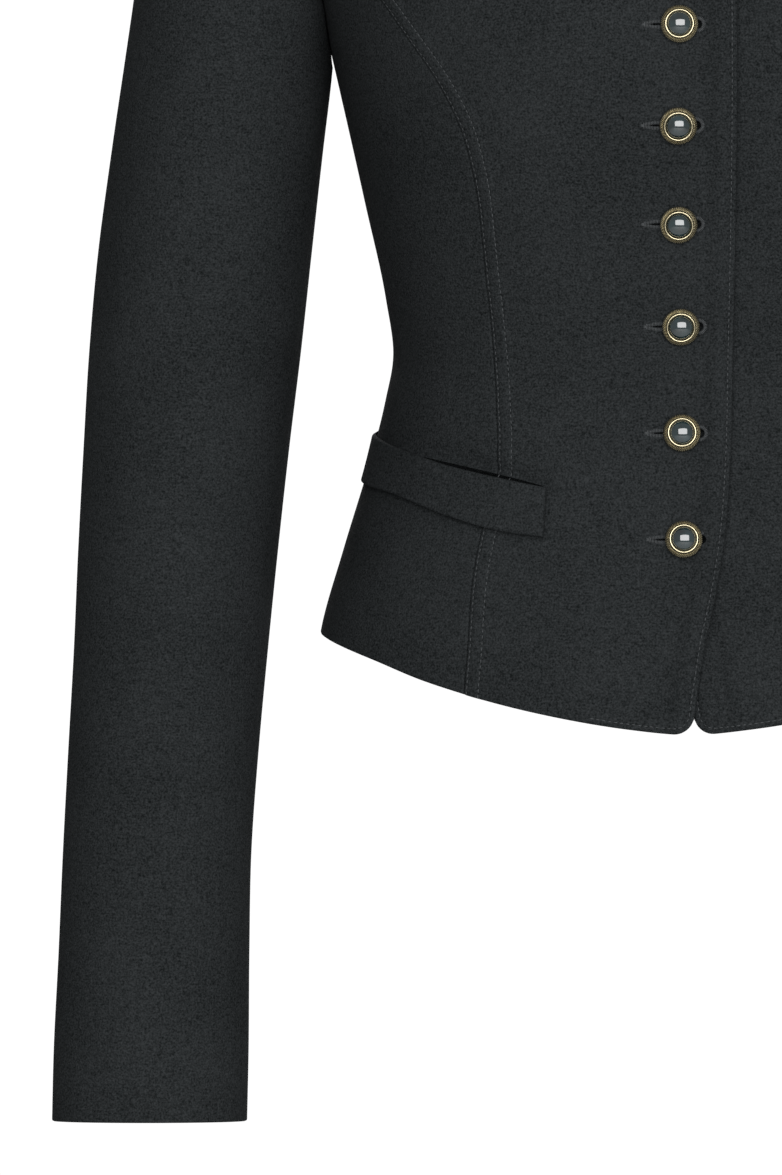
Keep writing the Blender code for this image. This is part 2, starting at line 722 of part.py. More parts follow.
def add_front_cutters(collection):
    """One cutter with nine buttonholes, each square to the cloth at its button."""
    mesh = bpy.data.meshes.new("buttonhole_cutter")
    bm = bmesh.new()
    depth = WALL * 3
    for height, distance in BUTTONS:
        place = button_place(height, distance)
        ring = [bm.verts.new(place @ Vector((x, y, -depth))) for x, y in keyhole()]
        face = bm.faces.new(ring)
        lifted = bmesh.ops.extrude_face_region(bm, geom=[face])
        raised = [v for v in lifted["geom"] if isinstance(v, bmesh.types.BMVert)]
        axis = place.to_3x3() @ Vector((0, 0, 2 * depth))
        bmesh.ops.translate(bm, verts=raised, vec=axis)
    bmesh.ops.recalc_face_normals(bm, faces=bm.faces)
    bm.to_mesh(mesh)
    bm.free()
    return guide(add_object("buttonhole_cutter", mesh, None, collection))


def add_corner_cutter(name, upper_layer, collection):
    """Takes the front's lower corner off in a quarter round."""
    sign = 1 if upper_layer else -1
    foot = float(hem_z(0.0))
    lap = float(read(FRONT_EDGE, foot + CORNER_RADIUS)[0])
    edge = sign * (lap if upper_layer else lap - UNDER_EDGE_SHIFT)
    centre = (edge - sign * CORNER_RADIUS, foot + CORNER_RADIUS)
    outline = [(edge + sign * CUTTER_REACH, centre[1])]
    for turn in np.linspace(0, math.pi / 2, 6):
        side = CORNER_RADIUS * math.cos(turn)
        outline.append((centre[0] + sign * side, centre[1] - CORNER_RADIUS * math.sin(turn)))
    low = foot - CUTTER_REACH
    outline += [(centre[0], low), (edge + sign * CUTTER_REACH, low)]
    front = -float(read(SECTIONS, foot)[1]) - CUTTER_REACH
    mesh = bpy.data.meshes.new(name)
    bm = bmesh.new()
    face = bm.faces.new([bm.verts.new((x, front, z)) for x, z in outline])
    lifted = bmesh.ops.extrude_face_region(bm, geom=[face])
    raised = [v for v in lifted["geom"] if isinstance(v, bmesh.types.BMVert)]
    bmesh.ops.translate(bm, verts=raised, vec=(0, 4 * CUTTER_REACH, 0))
    bmesh.ops.recalc_face_normals(bm, faces=bm.faces)
    bm.to_mesh(mesh)
    bm.free()
    return guide(add_object(name, mesh, None, collection))


def add_neck_cutter(name, drop, collection):
    """The neck opening seen from the front: half an ellipse below the neck points, open above."""
    turns = np.linspace(0, math.pi, NECK_SIDES + 1)
    outline = [(NECK_HALF_WIDTH * math.cos(t), -drop * math.sin(t)) for t in turns]
    outline += [(-NECK_HALF_WIDTH, NECK_HALF_WIDTH), (NECK_HALF_WIDTH, NECK_HALF_WIDTH)]
    reach = 2 * NECK_HALF_WIDTH
    mesh = bpy.data.meshes.new(name)
    bm = bmesh.new()
    face = bm.faces.new([bm.verts.new((x, -reach, z)) for x, z in outline])
    lifted = bmesh.ops.extrude_face_region(bm, geom=[face])
    raised = [v for v in lifted["geom"] if isinstance(v, bmesh.types.BMVert)]
    bmesh.ops.translate(bm, verts=raised, vec=(0, 2 * reach, 0))
    bmesh.ops.recalc_face_normals(bm, faces=bm.faces)
    bm.to_mesh(mesh)
    bm.free()
    return guide(add_object(name, mesh, None, collection))


def guide(cutter):
    """Marks an object as a cutter that isn't part of the jacket."""
    cutter.hide_render = True
    cutter.display_type = "WIRE"
    return cutter


def cut(piece, cutter):
    """Takes the cutter out of a piece."""
    boolean = piece.modifiers.new(cutter.name, "BOOLEAN")
    boolean.operation = "DIFFERENCE"
    boolean.solver = "EXACT"
    boolean.object = cutter


def main():
    for thing in list(bpy.data.objects):
        bpy.data.objects.remove(thing)
    jacket = bpy.data.collections.new("dirndl_jacket")
    cutters = bpy.data.collections.new("cutters")
    bpy.context.scene.collection.children.link(jacket)
    bpy.context.scene.collection.children.link(cutters)
    wool = material("boiled_wool", (0.014, 0.016, 0.017), 0.95, 0.0)
    brass = material("antique_brass", (0.40, 0.33, 0.20), 0.35, 1.0)
    pearl = material("dark_pearl", (0.012, 0.020, 0.018), 0.12, 0.0)
    front_neck = add_neck_cutter("front_neck_cutter", NECK_FRONT_DROP, cutters)
    right = add_front("front_right", True, True, wool, jacket)
    cut(right, front_neck)
    cut(right, add_front_cutters(cutters))
    cut(right, add_corner_cutter("right_corner_cutter", True, cutters))
    left = add_front("front_left", False, False, wool, jacket)
    cut(left, front_neck)
    cut(left, add_corner_cutter("left_corner_cutter", False, cutters))
    for side, mirrored in (("right", True), ("left", False)):
        add_side(f"side_front_{side}", PRINCESS_SEAM, False, mirrored, wool, jacket)
        add_side(f"side_back_{side}", BACK_SEAM, True, mirrored, wool, jacket)
        add_sleeve(side, mirrored, wool, jacket)
        add_welt(side, mirrored, wool, jacket)
    back = add_back("back_centre", wool, jacket)
    cut(back, add_neck_cutter("back_neck_cutter", NECK_BACK_DROP, cutters))
    add_buttons(brass, pearl, jacket)


main()
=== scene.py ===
import math

import bmesh
import bpy
import numpy as np
from mathutils import Matrix, Vector


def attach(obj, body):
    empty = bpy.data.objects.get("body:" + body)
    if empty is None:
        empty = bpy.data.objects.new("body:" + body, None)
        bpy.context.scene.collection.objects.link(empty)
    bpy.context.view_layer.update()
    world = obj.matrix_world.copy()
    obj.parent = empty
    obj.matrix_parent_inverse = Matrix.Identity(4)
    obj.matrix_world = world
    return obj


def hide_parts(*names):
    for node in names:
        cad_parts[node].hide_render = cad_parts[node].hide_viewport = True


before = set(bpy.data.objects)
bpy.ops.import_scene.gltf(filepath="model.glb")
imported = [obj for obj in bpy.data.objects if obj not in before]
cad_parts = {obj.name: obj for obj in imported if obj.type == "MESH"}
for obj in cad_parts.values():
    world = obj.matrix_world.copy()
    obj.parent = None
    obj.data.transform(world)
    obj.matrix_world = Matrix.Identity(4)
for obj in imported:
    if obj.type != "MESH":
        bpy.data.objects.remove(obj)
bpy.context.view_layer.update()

# Fronts
# Two centre fronts of one layer of almost black boiled wool with a short matt nap, sewn in at the
# princess seams, shoulders and armholes. The right one laps over the left and is buttonholed.

WOOL_DARK = (0.0052, 0.0062, 0.0064)
WOOL_LIGHT = (0.0296, 0.0325, 0.0341)
NAP_SIZE = 1250  # noise cells in a metre
CLUMP_SIZE = 430
COURSES = (230, 230, 1500)  # the knit's level lines: long across, narrow up
PATCH_SIZE = 24
SPECKLE_WEIGHTS = (0.66, 0.08, 0.16, 0.10)  # nap, clumps, courses, patches
SPECKLE_RANGE = (0.34, 0.68)  # noise values of the darkest and the lightest wool
RELIEF_WEIGHTS = (0.6, 0.5, 0.3)  # nap, clumps, courses
RELIEF_STRENGTH = 0.55
RELIEF_HEIGHT = 0.0006


def shader_node(tree, kind, **settings):
    made = tree.nodes.new(kind)
    for key, value in settings.items():
        setattr(made, key, value)
    return made


def noise(tree, coordinates, scale, detail):
    made = shader_node(tree, "ShaderNodeTexNoise")
    made.inputs["Scale"].default_value = scale
    made.inputs["Detail"].default_value = detail
    tree.links.new(coordinates, made.inputs["Vector"])
    return made.outputs["Fac"]


def weighted(tree, values, weights):
    """The sum of values, each times its weight."""
    total = None
    for value, weight in zip(values, weights):
        step = shader_node(tree, "ShaderNodeMath", operation="MULTIPLY_ADD")
        tree.links.new(value, step.inputs[0])
        step.inputs[1].default_value = weight
        step.inputs[2].default_value = 0
        if total is not None:
            tree.links.new(total, step.inputs[2])
        total = step.outputs[0]
    return total


def ramp(tree, value, places, colors):
    """A value turned into a colour between two."""
    made = shader_node(tree, "ShaderNodeValToRGB")
    for stop, position, color in zip(made.color_ramp.elements, places, colors):
        stop.position = position
        stop.color = (*color, 1)
    tree.links.new(value, made.inputs["Fac"])
    return made.outputs["Color"]


def material(name, sockets):
    """A material with plain values on its shader. Returns it, its tree and the shader's sockets."""
    made = bpy.data.materials.new(name)
    made.use_nodes = True
    shader = made.node_tree.nodes["Principled BSDF"]
    for socket, value in sockets.items():
        shader.inputs[socket].default_value = value
    return made, made.node_tree, shader.inputs


def object_place(tree):
    return shader_node(tree, "ShaderNodeTexCoord").outputs["Object"]


felt = bpy.data.node_groups.new("felt", "ShaderNodeTree")
felt.interface.new_socket(name="Color", in_out="OUTPUT", socket_type="NodeSocketColor")
felt.interface.new_socket(name="Height", in_out="OUTPUT", socket_type="NodeSocketFloat")
place = object_place(felt)
stretched = shader_node(felt, "ShaderNodeMapping")
stretched.inputs["Scale"].default_value = COURSES
felt.links.new(place, stretched.inputs["Vector"])
nap = noise(felt, place, NAP_SIZE, 2)
clumps = noise(felt, place, CLUMP_SIZE, 2)
courses = noise(felt, stretched.outputs["Vector"], 1, 1)
patches = noise(felt, place, PATCH_SIZE, 1)
speckle = weighted(felt, (nap, clumps, courses, patches), SPECKLE_WEIGHTS)
color = ramp(felt, speckle, SPECKLE_RANGE, (WOOL_DARK, WOOL_LIGHT))
felt_out = shader_node(felt, "NodeGroupOutput")
felt.links.new(color, felt_out.inputs["Color"])
felt.links.new(weighted(felt, (nap, clumps, courses), RELIEF_WEIGHTS), felt_out.inputs["Height"])

wool, tree, sockets = material(
    "boiled_wool",
    {
        "Roughness": 0.95,
        "Specular IOR Level": 0.02,
        "Sheen Weight": 0.004,
        "Sheen Roughness": 0.5,
    },
)
wool_felt = shader_node(tree, "ShaderNodeGroup", node_tree=felt)
wool_bump = shader_node(tree, "ShaderNodeBump")
wool_bump.inputs["Strength"].default_value = RELIEF_STRENGTH
wool_bump.inputs["Distance"].default_value = RELIEF_HEIGHT
tree.links.new(wool_felt.outputs["Color"], sockets["Base Color"])
tree.links.new(wool_felt.outputs["Height"], wool_bump.inputs["Height"])
tree.links.new(wool_bump.outputs["Normal"], sockets["Normal"])

WALL = 0.0026  # thickness of the boiled wool
SEAM_GAP = 0.0001  # between two pieces at a seam
LAYER_GAP = 0.0011  # between two pieces that lie on each other
ROUNDNESS = 2.2  # 2 is an ellipse, more is squarer

SECTIONS = (
    # height, half_width, front_depth, back_depth
    (-0.560, 0.1580, 0.1215, 0.1230),
    (-0.506, 0.1535, 0.1190, 0.1180),
    (-0.474, 0.1444, 0.1155, 0.1110),
    (-0.431, 0.1315, 0.1110, 0.1010),
    (-0.409, 0.1260, 0.1095, 0.0970),
    (-0.390, 0.1229, 0.1090, 0.0950),
    (-0.366, 0.1260, 0.1130, 0.0970),
    (-0.323, 0.1354, 0.1225, 0.1030),
    (-0.285, 0.1439, 0.1300, 0.1080),
    (-0.250, 0.1520, 0.1310, 0.1110),
    (-0.222, 0.1590, 0.1260, 0.1125),
    (-0.200, 0.1660, 0.1210, 0.1130),
    (-0.150, 0.1760, 0.1040, 0.1125),
    (-0.100, 0.1870, 0.0840, 0.1040),
    (-0.050, 0.2000, 0.0660, 0.0880),
    (0.000, 0.2100, 0.0500, 0.0720),
)

NECK_HALF_WIDTH = 0.073
NECK_FRONT_DROP = 0.108
NECK_BACK_DROP = 0.022
NECK_STEPS = 72
SHOULDER_X = 0.190
SHOULDER_Z = -0.048
SHOULDER_SEAM_Y = 0.008
SHOULDER_ROUND = 0.080  # height over which the shoulder rounds into front and back

PRINCESS_SEAM = (
    # height, distance
    (-0.540, 0.0942),
    (-0.519, 0.0925),
    (-0.483, 0.0895),
    (-0.459, 0.0845),
    (-0.440, 0.0802),
    (-0.410, 0.0800),
    (-0.380, 0.0820),
    (-0.350, 0.0853),
    (-0.318, 0.0897),
    (-0.298, 0.0953),
    (-0.281, 0.1037),
    (-0.262, 0.1160),
    (-0.243, 0.1285),
    (-0.220, 0.1450),
    (-0.200, 0.1580),
)
BACK_SEAM = (
    # height, distance
    (-0.540, 0.0860),
    (-0.470, 0.0760),
    (-0.390, 0.0640),
    (-0.320, 0.0760),
    (-0.260, 0.1000),
    (-0.220, 0.1280),
    (-0.190, 0.1586),
)
SIDE_SEAM_ANGLE = math.radians(94)
HEM = (
    # angle_from_centre_front, height
    (-12, -0.5495),
    (0, -0.5512),
    (12, -0.5490),
    (30, -0.5420),
    (50, -0.5297),
    (62, -0.5205),
    (75, -0.5135),
    (94, -0.5085),
    (135, -0.5120),
    (180, -0.5170),
)

FRONT_ARMHOLE = (
    # height, distance
    (-0.200, 0.1580),
    (-0.175, 0.1544),
    (-0.150, 0.1540),
    (-0.125, 0.1575),
    (-0.100, 0.1640),
    (-0.070, 0.1765),
    (-0.048, 0.1900),
)
BACK_ARMHOLE = (
    # height, distance
    (-0.190, 0.1586),
    (-0.165, 0.1565),
    (-0.140, 0.1570),
    (-0.110, 0.1630),
    (-0.080, 0.1730),
    (-0.048, 0.1900),
)
UNDERARM_Z = -0.222
UNDERARM_SHARPNESS = 2.6

FRONT_EDGE = (
    # height, lap
    (-0.560, 0.0015),
    (-0.543, 0.0023),
    (-0.526, 0.0048),
    (-0.513, 0.0069),
    (-0.494, 0.0111),
    (-0.470, 0.0150),
    (-0.433, 0.0178),
    (-0.400, 0.0186),
    (-0.090, 0.0186),
)
UNDER_EDGE_SHIFT = 0.0042  # the lower layer's edge mirrors the upper one's, moved by this
UNDERLAP_EASE = 0.026  # over this width the lower layer rises to the outer surface
CORNER_RADIUS = 0.0085
CORNER_LEAN = 0.1  # share by which the hem's groove sinks away from the front edge's row

SEAM_ROWS = 150
ARMHOLE_ROWS = 80
ARMHOLE_SAMPLES = 400
UNDERARM_SAMPLES = 100
HEM_GUESS = -0.52  # where the search for a seam's foot starts
HEM_ROUNDS = 20
PANEL_COLUMNS = 90
SIDE_COLUMNS = 40
STEP = 1e-5  # small move along a surface that gives its normal
CREASES = (
    # x, height, back, lean, length, width, rise
    (-0.114, -0.392, 0, 78, 0.022, 0.0055, -0.0007),
    (-0.101, -0.371, 0, 66, 0.030, 0.0080, 0.0006),
    (-0.106, -0.413, 0, 100, 0.028, 0.0070, 0.0005),
    (-0.126, -0.300, 0, 28, 0.050, 0.0100, -0.0008),
    (-0.062, -0.330, 0, 20, 0.060, 0.0130, 0.0005),
    (-0.060, -0.215, 0, 62, 0.040, 0.0140, 0.0005),
    (-0.052, -0.500, 0, 8, 0.050, 0.0140, 0.0006),
    (-0.104, -0.498, 0, -12, 0.040, 0.0130, -0.0006),
    (0.112, -0.396, 0, 100, 0.024, 0.0060, -0.0007),
    (0.103, -0.374, 0, 112, 0.028, 0.0080, 0.0006),
    (0.127, -0.306, 0, -30, 0.048, 0.0100, -0.0008),
    (0.066, -0.322, 0, -18, 0.058, 0.0130, 0.0005),
    (0.058, -0.208, 0, -60, 0.040, 0.0140, 0.0005),
    (0.060, -0.502, 0, -7, 0.048, 0.0140, 0.0006),
    (0.106, -0.500, 0, 13, 0.040, 0.0130, -0.0006),
    (0.030, -0.397, 1, 87, 0.040, 0.0065, -0.0009),
    (-0.034, -0.378, 1, 95, 0.045, 0.0075, 0.0008),
    (-0.050, -0.412, 1, 82, 0.036, 0.0070, -0.0007),
    (0.062, -0.366, 1, 74, 0.034, 0.0075, 0.0007),
    (0.098, -0.388, 1, 99, 0.024, 0.0065, -0.0007),
    (-0.101, -0.384, 1, 80, 0.026, 0.0065, -0.0008),
    (0.086, -0.205, 1, 16, 0.065, 0.0150, -0.0008),
    (-0.090, -0.198, 1, -13, 0.070, 0.0150, -0.0008),
    (0.040, -0.300, 1, 5, 0.070, 0.0150, 0.0006),
    (-0.045, -0.290, 1, -6, 0.065, 0.0150, 0.0006),
    (0.050, -0.480, 1, 10, 0.045, 0.0130, 0.0007),
    (-0.060, -0.476, 1, -8, 0.045, 0.0130, 0.0007),
)
CREASE_TURN = 0.03  # depth over which a crease dies out round the side
CREASE_WANDER = (0.35, 2.1, 40)  # how much a crease's width varies, how often, and its start

CELL = 0.0030  # the mesh's cell away from edges and seams
EDGE_SHARE = 0.7  # the most that the two edges' lines take of a short line
SHARP_EDGE = math.radians(50)
# Distances of the mesh's lines from a plain edge, an edge with a row of stitches and a seam
EDGE_LINES = (0, 0.0003, 0.0008, 0.0014)
STITCHED_LINES = (0, 0.0003, 0.0008, 0.0013, 0.0019, 0.0023, 0.0027, 0.0034)
SEAM_LINES = (
    0, 0.0003, 0.0008, 0.0012, 0.0015, 0.0018, 0.0024, 0.0036,
    0.0050, 0.0062, 0.0067, 0.0070, 0.0073, 0.0079, 0.0092,
)
EDGE_ROW = 0.0023  # the stitches' distance from the front edge
SEAM_ROWS_AT = (0.0015, 0.0070)  # and from a seam
ROLL = 0.0008  # radius of the turned edges
GROOVE_DEPTH = 0.0005
GROOVE_WIDTH = 0.00045
SEAM_RISE = 0.0007
SEAM_STARTS = (0.002, 0.008)  # where the relief starts below the seam's top, and its fade
BAND_RISES = 0.0018
BAND_ENDS = (0.0092, 0.0022)  # the band's far side, and the width of its slope there
EDGE_RIDGE = (0.0058, 0.0036, 0.0013)  # distance, width, rise
EDGE_TROUGH = (0.0134, 0.0032, -0.0015)


def read(rows, at):
    """The columns of a table, read smoothly at heights or angles; its first column rises."""
    rows = np.array(rows, float)
    where, values = rows[:, 0], rows[:, 1:]
    slopes = np.gradient(values, where, axis=0)
    at = np.clip(np.asarray(at, float), where[0], where[-1])
    i = np.clip(np.searchsorted(where, at) - 1, 0, len(where) - 2)
    width = (where[i + 1] - where[i])[..., None]
    t = (at - where[i])[..., None] / width
    low = values[i] * (1 + 2 * t) + slopes[i] * width * t
    high = values[i + 1] * (3 - 2 * t) - slopes[i + 1] * width * (1 - t)
    return np.moveaxis(low * (1 - t) ** 2 + high * t**2, -1, 0)


def shoulder_z(x):
    """Height of the shoulder line, carried on towards the centre plane."""
    slope = SHOULDER_Z / (SHOULDER_X - NECK_HALF_WIDTH)
    return slope * (np.abs(x) - NECK_HALF_WIDTH)


def drop_of(x, z):
    """How far down the cloth a height lies from the shoulder line, round the shoulder."""
    down = shoulder_z(x) - z
    turn = np.arccos(np.clip(1 - down / SHOULDER_ROUND, 0, 1))
    below = np.maximum(down - SHOULDER_ROUND, 0)
    straight = SHOULDER_ROUND * math.pi / 2 + below
    return np.where(down < SHOULDER_ROUND, turn * SHOULDER_ROUND, straight)


def height_of(x, drop):
    """The height that lies this far down the cloth from the shoulder line."""
    turn = np.minimum(drop / SHOULDER_ROUND, math.pi / 2)
    below = np.maximum(drop - SHOULDER_ROUND * math.pi / 2, 0)
    return shoulder_z(x) - SHOULDER_ROUND * (1 - np.cos(turn)) - below


def body_by_drop(x, drop, back):
    """Points of the body's outer surface, from the distance to the side and down the cloth."""
    z = height_of(x, drop)
    half_width, front, rear = read(SECTIONS, z)
    share = np.clip(np.abs(x) / half_width, 0, 1)
    depth = (1 - share**ROUNDNESS) ** (1 / ROUNDNESS)
    chest = np.where(back, rear, -front) * depth
    turn = np.minimum(drop / SHOULDER_ROUND, math.pi / 2)
    y = SHOULDER_SEAM_Y + (chest - SHOULDER_SEAM_Y) * np.sin(turn)
    return np.stack([x, y, z], axis=-1)


def body_by_angle(angle, z):
    """Points of the body's outer surface, from the angle off the centre front and the height."""
    half_width, front, rear = read(SECTIONS, z)
    depth = np.where(np.cos(angle) > 0, front, rear)
    across = np.abs(np.sin(angle) / half_width) ** ROUNDNESS
    along = np.abs(np.cos(angle) / depth) ** ROUNDNESS
    reach = (across + along) ** (-1 / ROUNDNESS)
    return np.stack([reach * np.sin(angle), -reach * np.cos(angle), z + 0 * angle], axis=-1)


def unit(vectors):
    return vectors / np.linalg.norm(vectors, axis=-1, keepdims=True)


def normals_of(surface, u, v):
    """Unit normals of a surface given by two coordinates."""
    along_u = surface(u + STEP, v) - surface(u - STEP, v)
    along_v = surface(u, v + STEP) - surface(u, v - STEP)
    normal = np.cross(along_u, along_v)
    return unit(normal)


def normals_by_drop(x, drop, back):
    """Unit normals of the body's outer surface, pointing outwards."""
    sign = 1 if back else -1
    return sign * normals_of(lambda u, v: body_by_drop(u, v, back), x, drop)


def run_of(points):
    """Lengths along a run of points, from its start."""
    steps = np.linalg.norm(np.diff(points, axis=0), axis=1)
    return np.concatenate([[0], np.cumsum(steps)])


def evenly(points, count):
    """Places along a run of points that cut it into equal lengths, as positions in the run."""
    run = run_of(points)
    return np.interp(np.linspace(0, run[-1], count + 1), run, np.linspace(0, 1, len(points)))


def patch(left, right, bottom, top):
    """A sheet of plane coordinates between four edges, rows from the bottom up."""
    s = np.linspace(0, 1, len(bottom))[None, :, None]
    t = np.linspace(0, 1, len(left))[:, None, None]
    sides = (1 - s) * left[:, None] + s * right[:, None]
    ends = (1 - t) * bottom[None] + t * top[None]
    lower = (1 - s) * bottom[0] + s * bottom[-1]
    upper = (1 - s) * top[0] + s * top[-1]
    return sides + ends - (1 - t) * lower - t * upper


def hem_z(angle):
    return read(HEM, np.degrees(angle))[0]


def seam_foot(seam, back):
    """Where a body seam meets the hem."""
    z = HEM_GUESS
    for _ in range(HEM_ROUNDS):
        distance = read(seam, z)[0]
        x, y, _ = body_by_drop(distance, drop_of(distance, z), back)
        z = hem_z(np.arctan2(x, -y))
    return float(z)


def seam_run(seam, back):
    """Distance and height along a body seam, from the hem to the armhole."""
    z = np.linspace(seam_foot(seam, back), seam[-1][0], SEAM_ROWS + 1)
    return np.stack([read(seam, z)[0], z], axis=-1)


def armhole_run(armhole, back):
    """Distance and height along the upper armhole, from the seam's top to the shoulder."""
    z = np.linspace(armhole[0][0], armhole[-1][0], ARMHOLE_SAMPLES)
    x = read(armhole, z)[0]
    drop = drop_of(x, z)
    drop[-1] = 0
    spot = evenly(body_by_drop(x, drop, back), ARMHOLE_ROWS)
    z = np.interp(spot, np.linspace(0, 1, len(z)), z)
    return np.stack([read(armhole, z)[0], z], axis=-1)


def to_drop(run):
    """Turns heights into lengths down the cloth."""
    drop = drop_of(run[:, 0], run[:, 1])
    return np.stack([run[:, 0], drop], axis=-1)


def underarm_z(angle, seam_angle, seam_top):
    """Height of the armhole's lower part between a body seam and the side seam."""
    share = np.clip((SIDE_SEAM_ANGLE - angle) / (SIDE_SEAM_ANGLE - seam_angle), 0, 1)
    return UNDERARM_Z + (seam_top - UNDERARM_Z) * share**UNDERARM_SHARPNESS


def front_edge_x(z, upper_layer):
    """Distance of the front edge from the centre plane, negative past it."""
    lap = read(FRONT_EDGE, z)[0]
    return -lap if upper_layer else -(lap - UNDER_EDGE_SHIFT)


def panel_sheet(seam, armhole, edge_x, back):
    """Distances and drops of a panel between its edge, the shoulder line and a body seam.

    It runs up over the neck opening, which is cut out of it afterwards.
    """
    half = SEAM_GAP / 2
    right = seam_run(seam, back)
    right[:, 0] -= half
    right = to_drop(np.concatenate([right, armhole_run(armhole, back)[1:]]))
    right[-1, 1] = half
    foot_z = float(hem_z(math.pi if back else 0.0))
    down = np.linspace(float(drop_of(0.0, foot_z)), half, len(right))
    edge = edge_x(height_of(0.0, down))
    edge = edge_x(height_of(edge, down))
    left = np.stack([edge, down], axis=-1)
    along_shoulder = np.linspace(edge[-1], SHOULDER_X, PANEL_COLUMNS + 1)
    top = np.stack([along_shoulder, np.full(len(along_shoulder), half)], axis=-1)
    x = np.linspace(edge[0], right[0, 0], len(top))
    foot = body_by_drop(x, drop_of(x, np.full_like(x, foot_z)), back)
    hem = hem_z(np.arctan2(foot[:, 0], -foot[:, 1]))
    bottom = to_drop(np.stack([x, hem], axis=-1))
    bottom[-1] = right[0]
    left[0] = bottom[0]
    return patch(left, right, bottom, top)


def side_sheet(seam, back):
    """Angles and heights of a side panel, from the body seam to the side seam."""
    run = seam_run(seam, back)
    x, y, _ = body_by_drop(run[:, 0], to_drop(run)[:, 1], back).T
    first = np.arctan2(x, -y)
    side_z = np.linspace(float(hem_z(SIDE_SEAM_ANGLE)), UNDERARM_Z, len(run))
    near = np.stack([first, run[:, 1]], axis=-1)
    far = np.stack([np.full(len(run), SIDE_SEAM_ANGLE), side_z], axis=-1)
    foot = np.linspace(first[0], SIDE_SEAM_ANGLE, SIDE_COLUMNS + 1)
    bottom = np.stack([foot, hem_z(foot)], axis=-1)
    arm = np.linspace(first[-1], SIDE_SEAM_ANGLE, UNDERARM_SAMPLES)
    arm_z = underarm_z(arm, first[-1], run[-1, 1])
    spot = evenly(body_by_angle(arm, arm_z), SIDE_COLUMNS)
    arm = np.interp(spot, np.linspace(0, 1, len(arm)), arm)
    top = np.stack([arm, underarm_z(arm, first[-1], run[-1, 1])], axis=-1)
    bottom[0], bottom[-1], top[0], top[-1] = near[0], far[0], near[-1], far[-1]
    return patch(near, far, bottom, top)


def inset_by_angle(sheet):
    """Draws the first and last columns in by half a seam gap."""
    sheet = sheet.copy()
    for column, inward in ((0, 1), (-1, -1)):
        way = np.sign(sheet[0, -1, 0] - sheet[0, 0, 0]) * inward
        point = body_by_angle(sheet[:, column, 0], sheet[:, column, 1])
        reach = np.hypot(point[:, 0], point[:, 1])
        sheet[:, column, 0] += way * SEAM_GAP / 2 / reach
    return sheet


POCKET_MOUTH = (
    # distance_from_centre, height
    (0.0590, -0.4463),
    (0.0845, -0.4392),
    (0.1060, -0.4325),
    (0.1281, -0.4257),
)
DIP_DEPTH = 0.0026
DIP_WIDTH = 0.0032
DIP_STARTS = (0.054, 0.008)  # distance from the centre plane, and length of the slope there
DIP_ENDS = (0.126, 0.040)


def eased(share):
    """0 to 1 with a soft start and end."""
    share = np.clip(share, 0, 1)
    return share * share * (3 - 2 * share)


def runs(points, axis):
    """Lengths along a sheet's lines, from their starts and back from their ends."""
    steps = np.linalg.norm(np.diff(points, axis=axis), axis=2)
    start = np.zeros_like(np.take(steps, [0], axis=axis))
    run = np.concatenate([start, np.cumsum(steps, axis=axis)], axis=axis)
    return run, np.take(run, [-1], axis=axis) - run


def lined(points, normals, axis, low, high):
    """Lays a sheet's lines anew: at set lengths from two opposite edges, evenly between them."""
    both = np.concatenate([points, normals], axis=2)
    if axis == 0:
        both = both.swapaxes(0, 1)
    run, _ = runs(both[..., :3], 1)
    count = int((run[:, -1].max() - low[-1] - high[-1]) / CELL)
    made = []
    for line, along in zip(both, run):
        squeeze = min(1, EDGE_SHARE * along[-1] / (low[-1] + high[-1]))
        near = np.array(low) * squeeze
        far = along[-1] - np.array(high)[::-1] * squeeze
        middle = np.linspace(near[-1], far[0], count + 2)[1:-1]
        at = np.concatenate([near, middle, far])
        made.append(np.stack([np.interp(at, along, line[:, k]) for k in range(6)], axis=-1))
    made = np.array(made)
    if axis == 0:
        made = made.swapaxes(0, 1)
    tilt = made[..., 3:]
    return made[..., :3], unit(tilt)


def refined(points, normals, across=(EDGE_LINES, EDGE_LINES), along=(EDGE_LINES, EDGE_LINES)):
    """Lays a sheet's lines anew both ways."""
    points, normals = lined(points, normals, 1, *across)
    return lined(points, normals, 0, *along)


def borders(points):
    """Lengths from a sheet's first and last columns, its first and last rows, and the nearest."""
    lengths = (*runs(points, 1), *runs(points, 0))
    return *lengths, np.minimum.reduce(lengths)


def bump(distance, at, width, rise):
    """A soft ridge or groove that runs at a distance from an edge."""
    return rise * np.exp(-(((distance - at) / width) ** 2))


def rolled(distance):
    """How far cloth turns in near its edge."""
    short = np.clip(1 - distance / ROLL, 0, 1)
    return ROLL * (1 - np.sqrt(1 - short**2))


def creased(points):
    """How far the body's cloth stands out of its form at its soft creases."""
    total = np.zeros(points.shape[:-1])
    for x, z, back, lean, length, width, rise in CREASES:
        turn = math.radians(lean)
        right, up = points[..., 0] - x, points[..., 2] - z
        along = right * math.sin(turn) + up * math.cos(turn)
        across = right * math.cos(turn) - up * math.sin(turn)
        side = eased((points[..., 1] - SHOULDER_SEAM_Y) * (1 if back else -1) / CREASE_TURN)
        wander, often, start = CREASE_WANDER
        uneven = 1 + wander * np.sin(along / length * often + start * x)
        shape = np.exp(-((along / length) ** 2) - (across / (width * uneven)) ** 2)
        total = total + rise * side * shape
    return total


def pocket_dip(points):
    """How far the cloth sinks along the upper edge of a pocket welt."""
    x = np.abs(points[..., 0])
    line = np.interp(x, *zip(*POCKET_MOUTH))
    strength = eased((x - DIP_STARTS[0]) / DIP_STARTS[1]) * eased((DIP_ENDS[0] - x) / DIP_ENDS[1])
    dip = -DIP_DEPTH * strength * np.exp(-(((points[..., 2] - line) / DIP_WIDTH) ** 2))
    return np.where(points[..., 1] < 0, dip, 0)


def linked(name, data):
    """An object of this mesh, light or camera, in the scene."""
    made = bpy.data.objects.new(name, data)
    bpy.context.collection.objects.link(made)
    return made


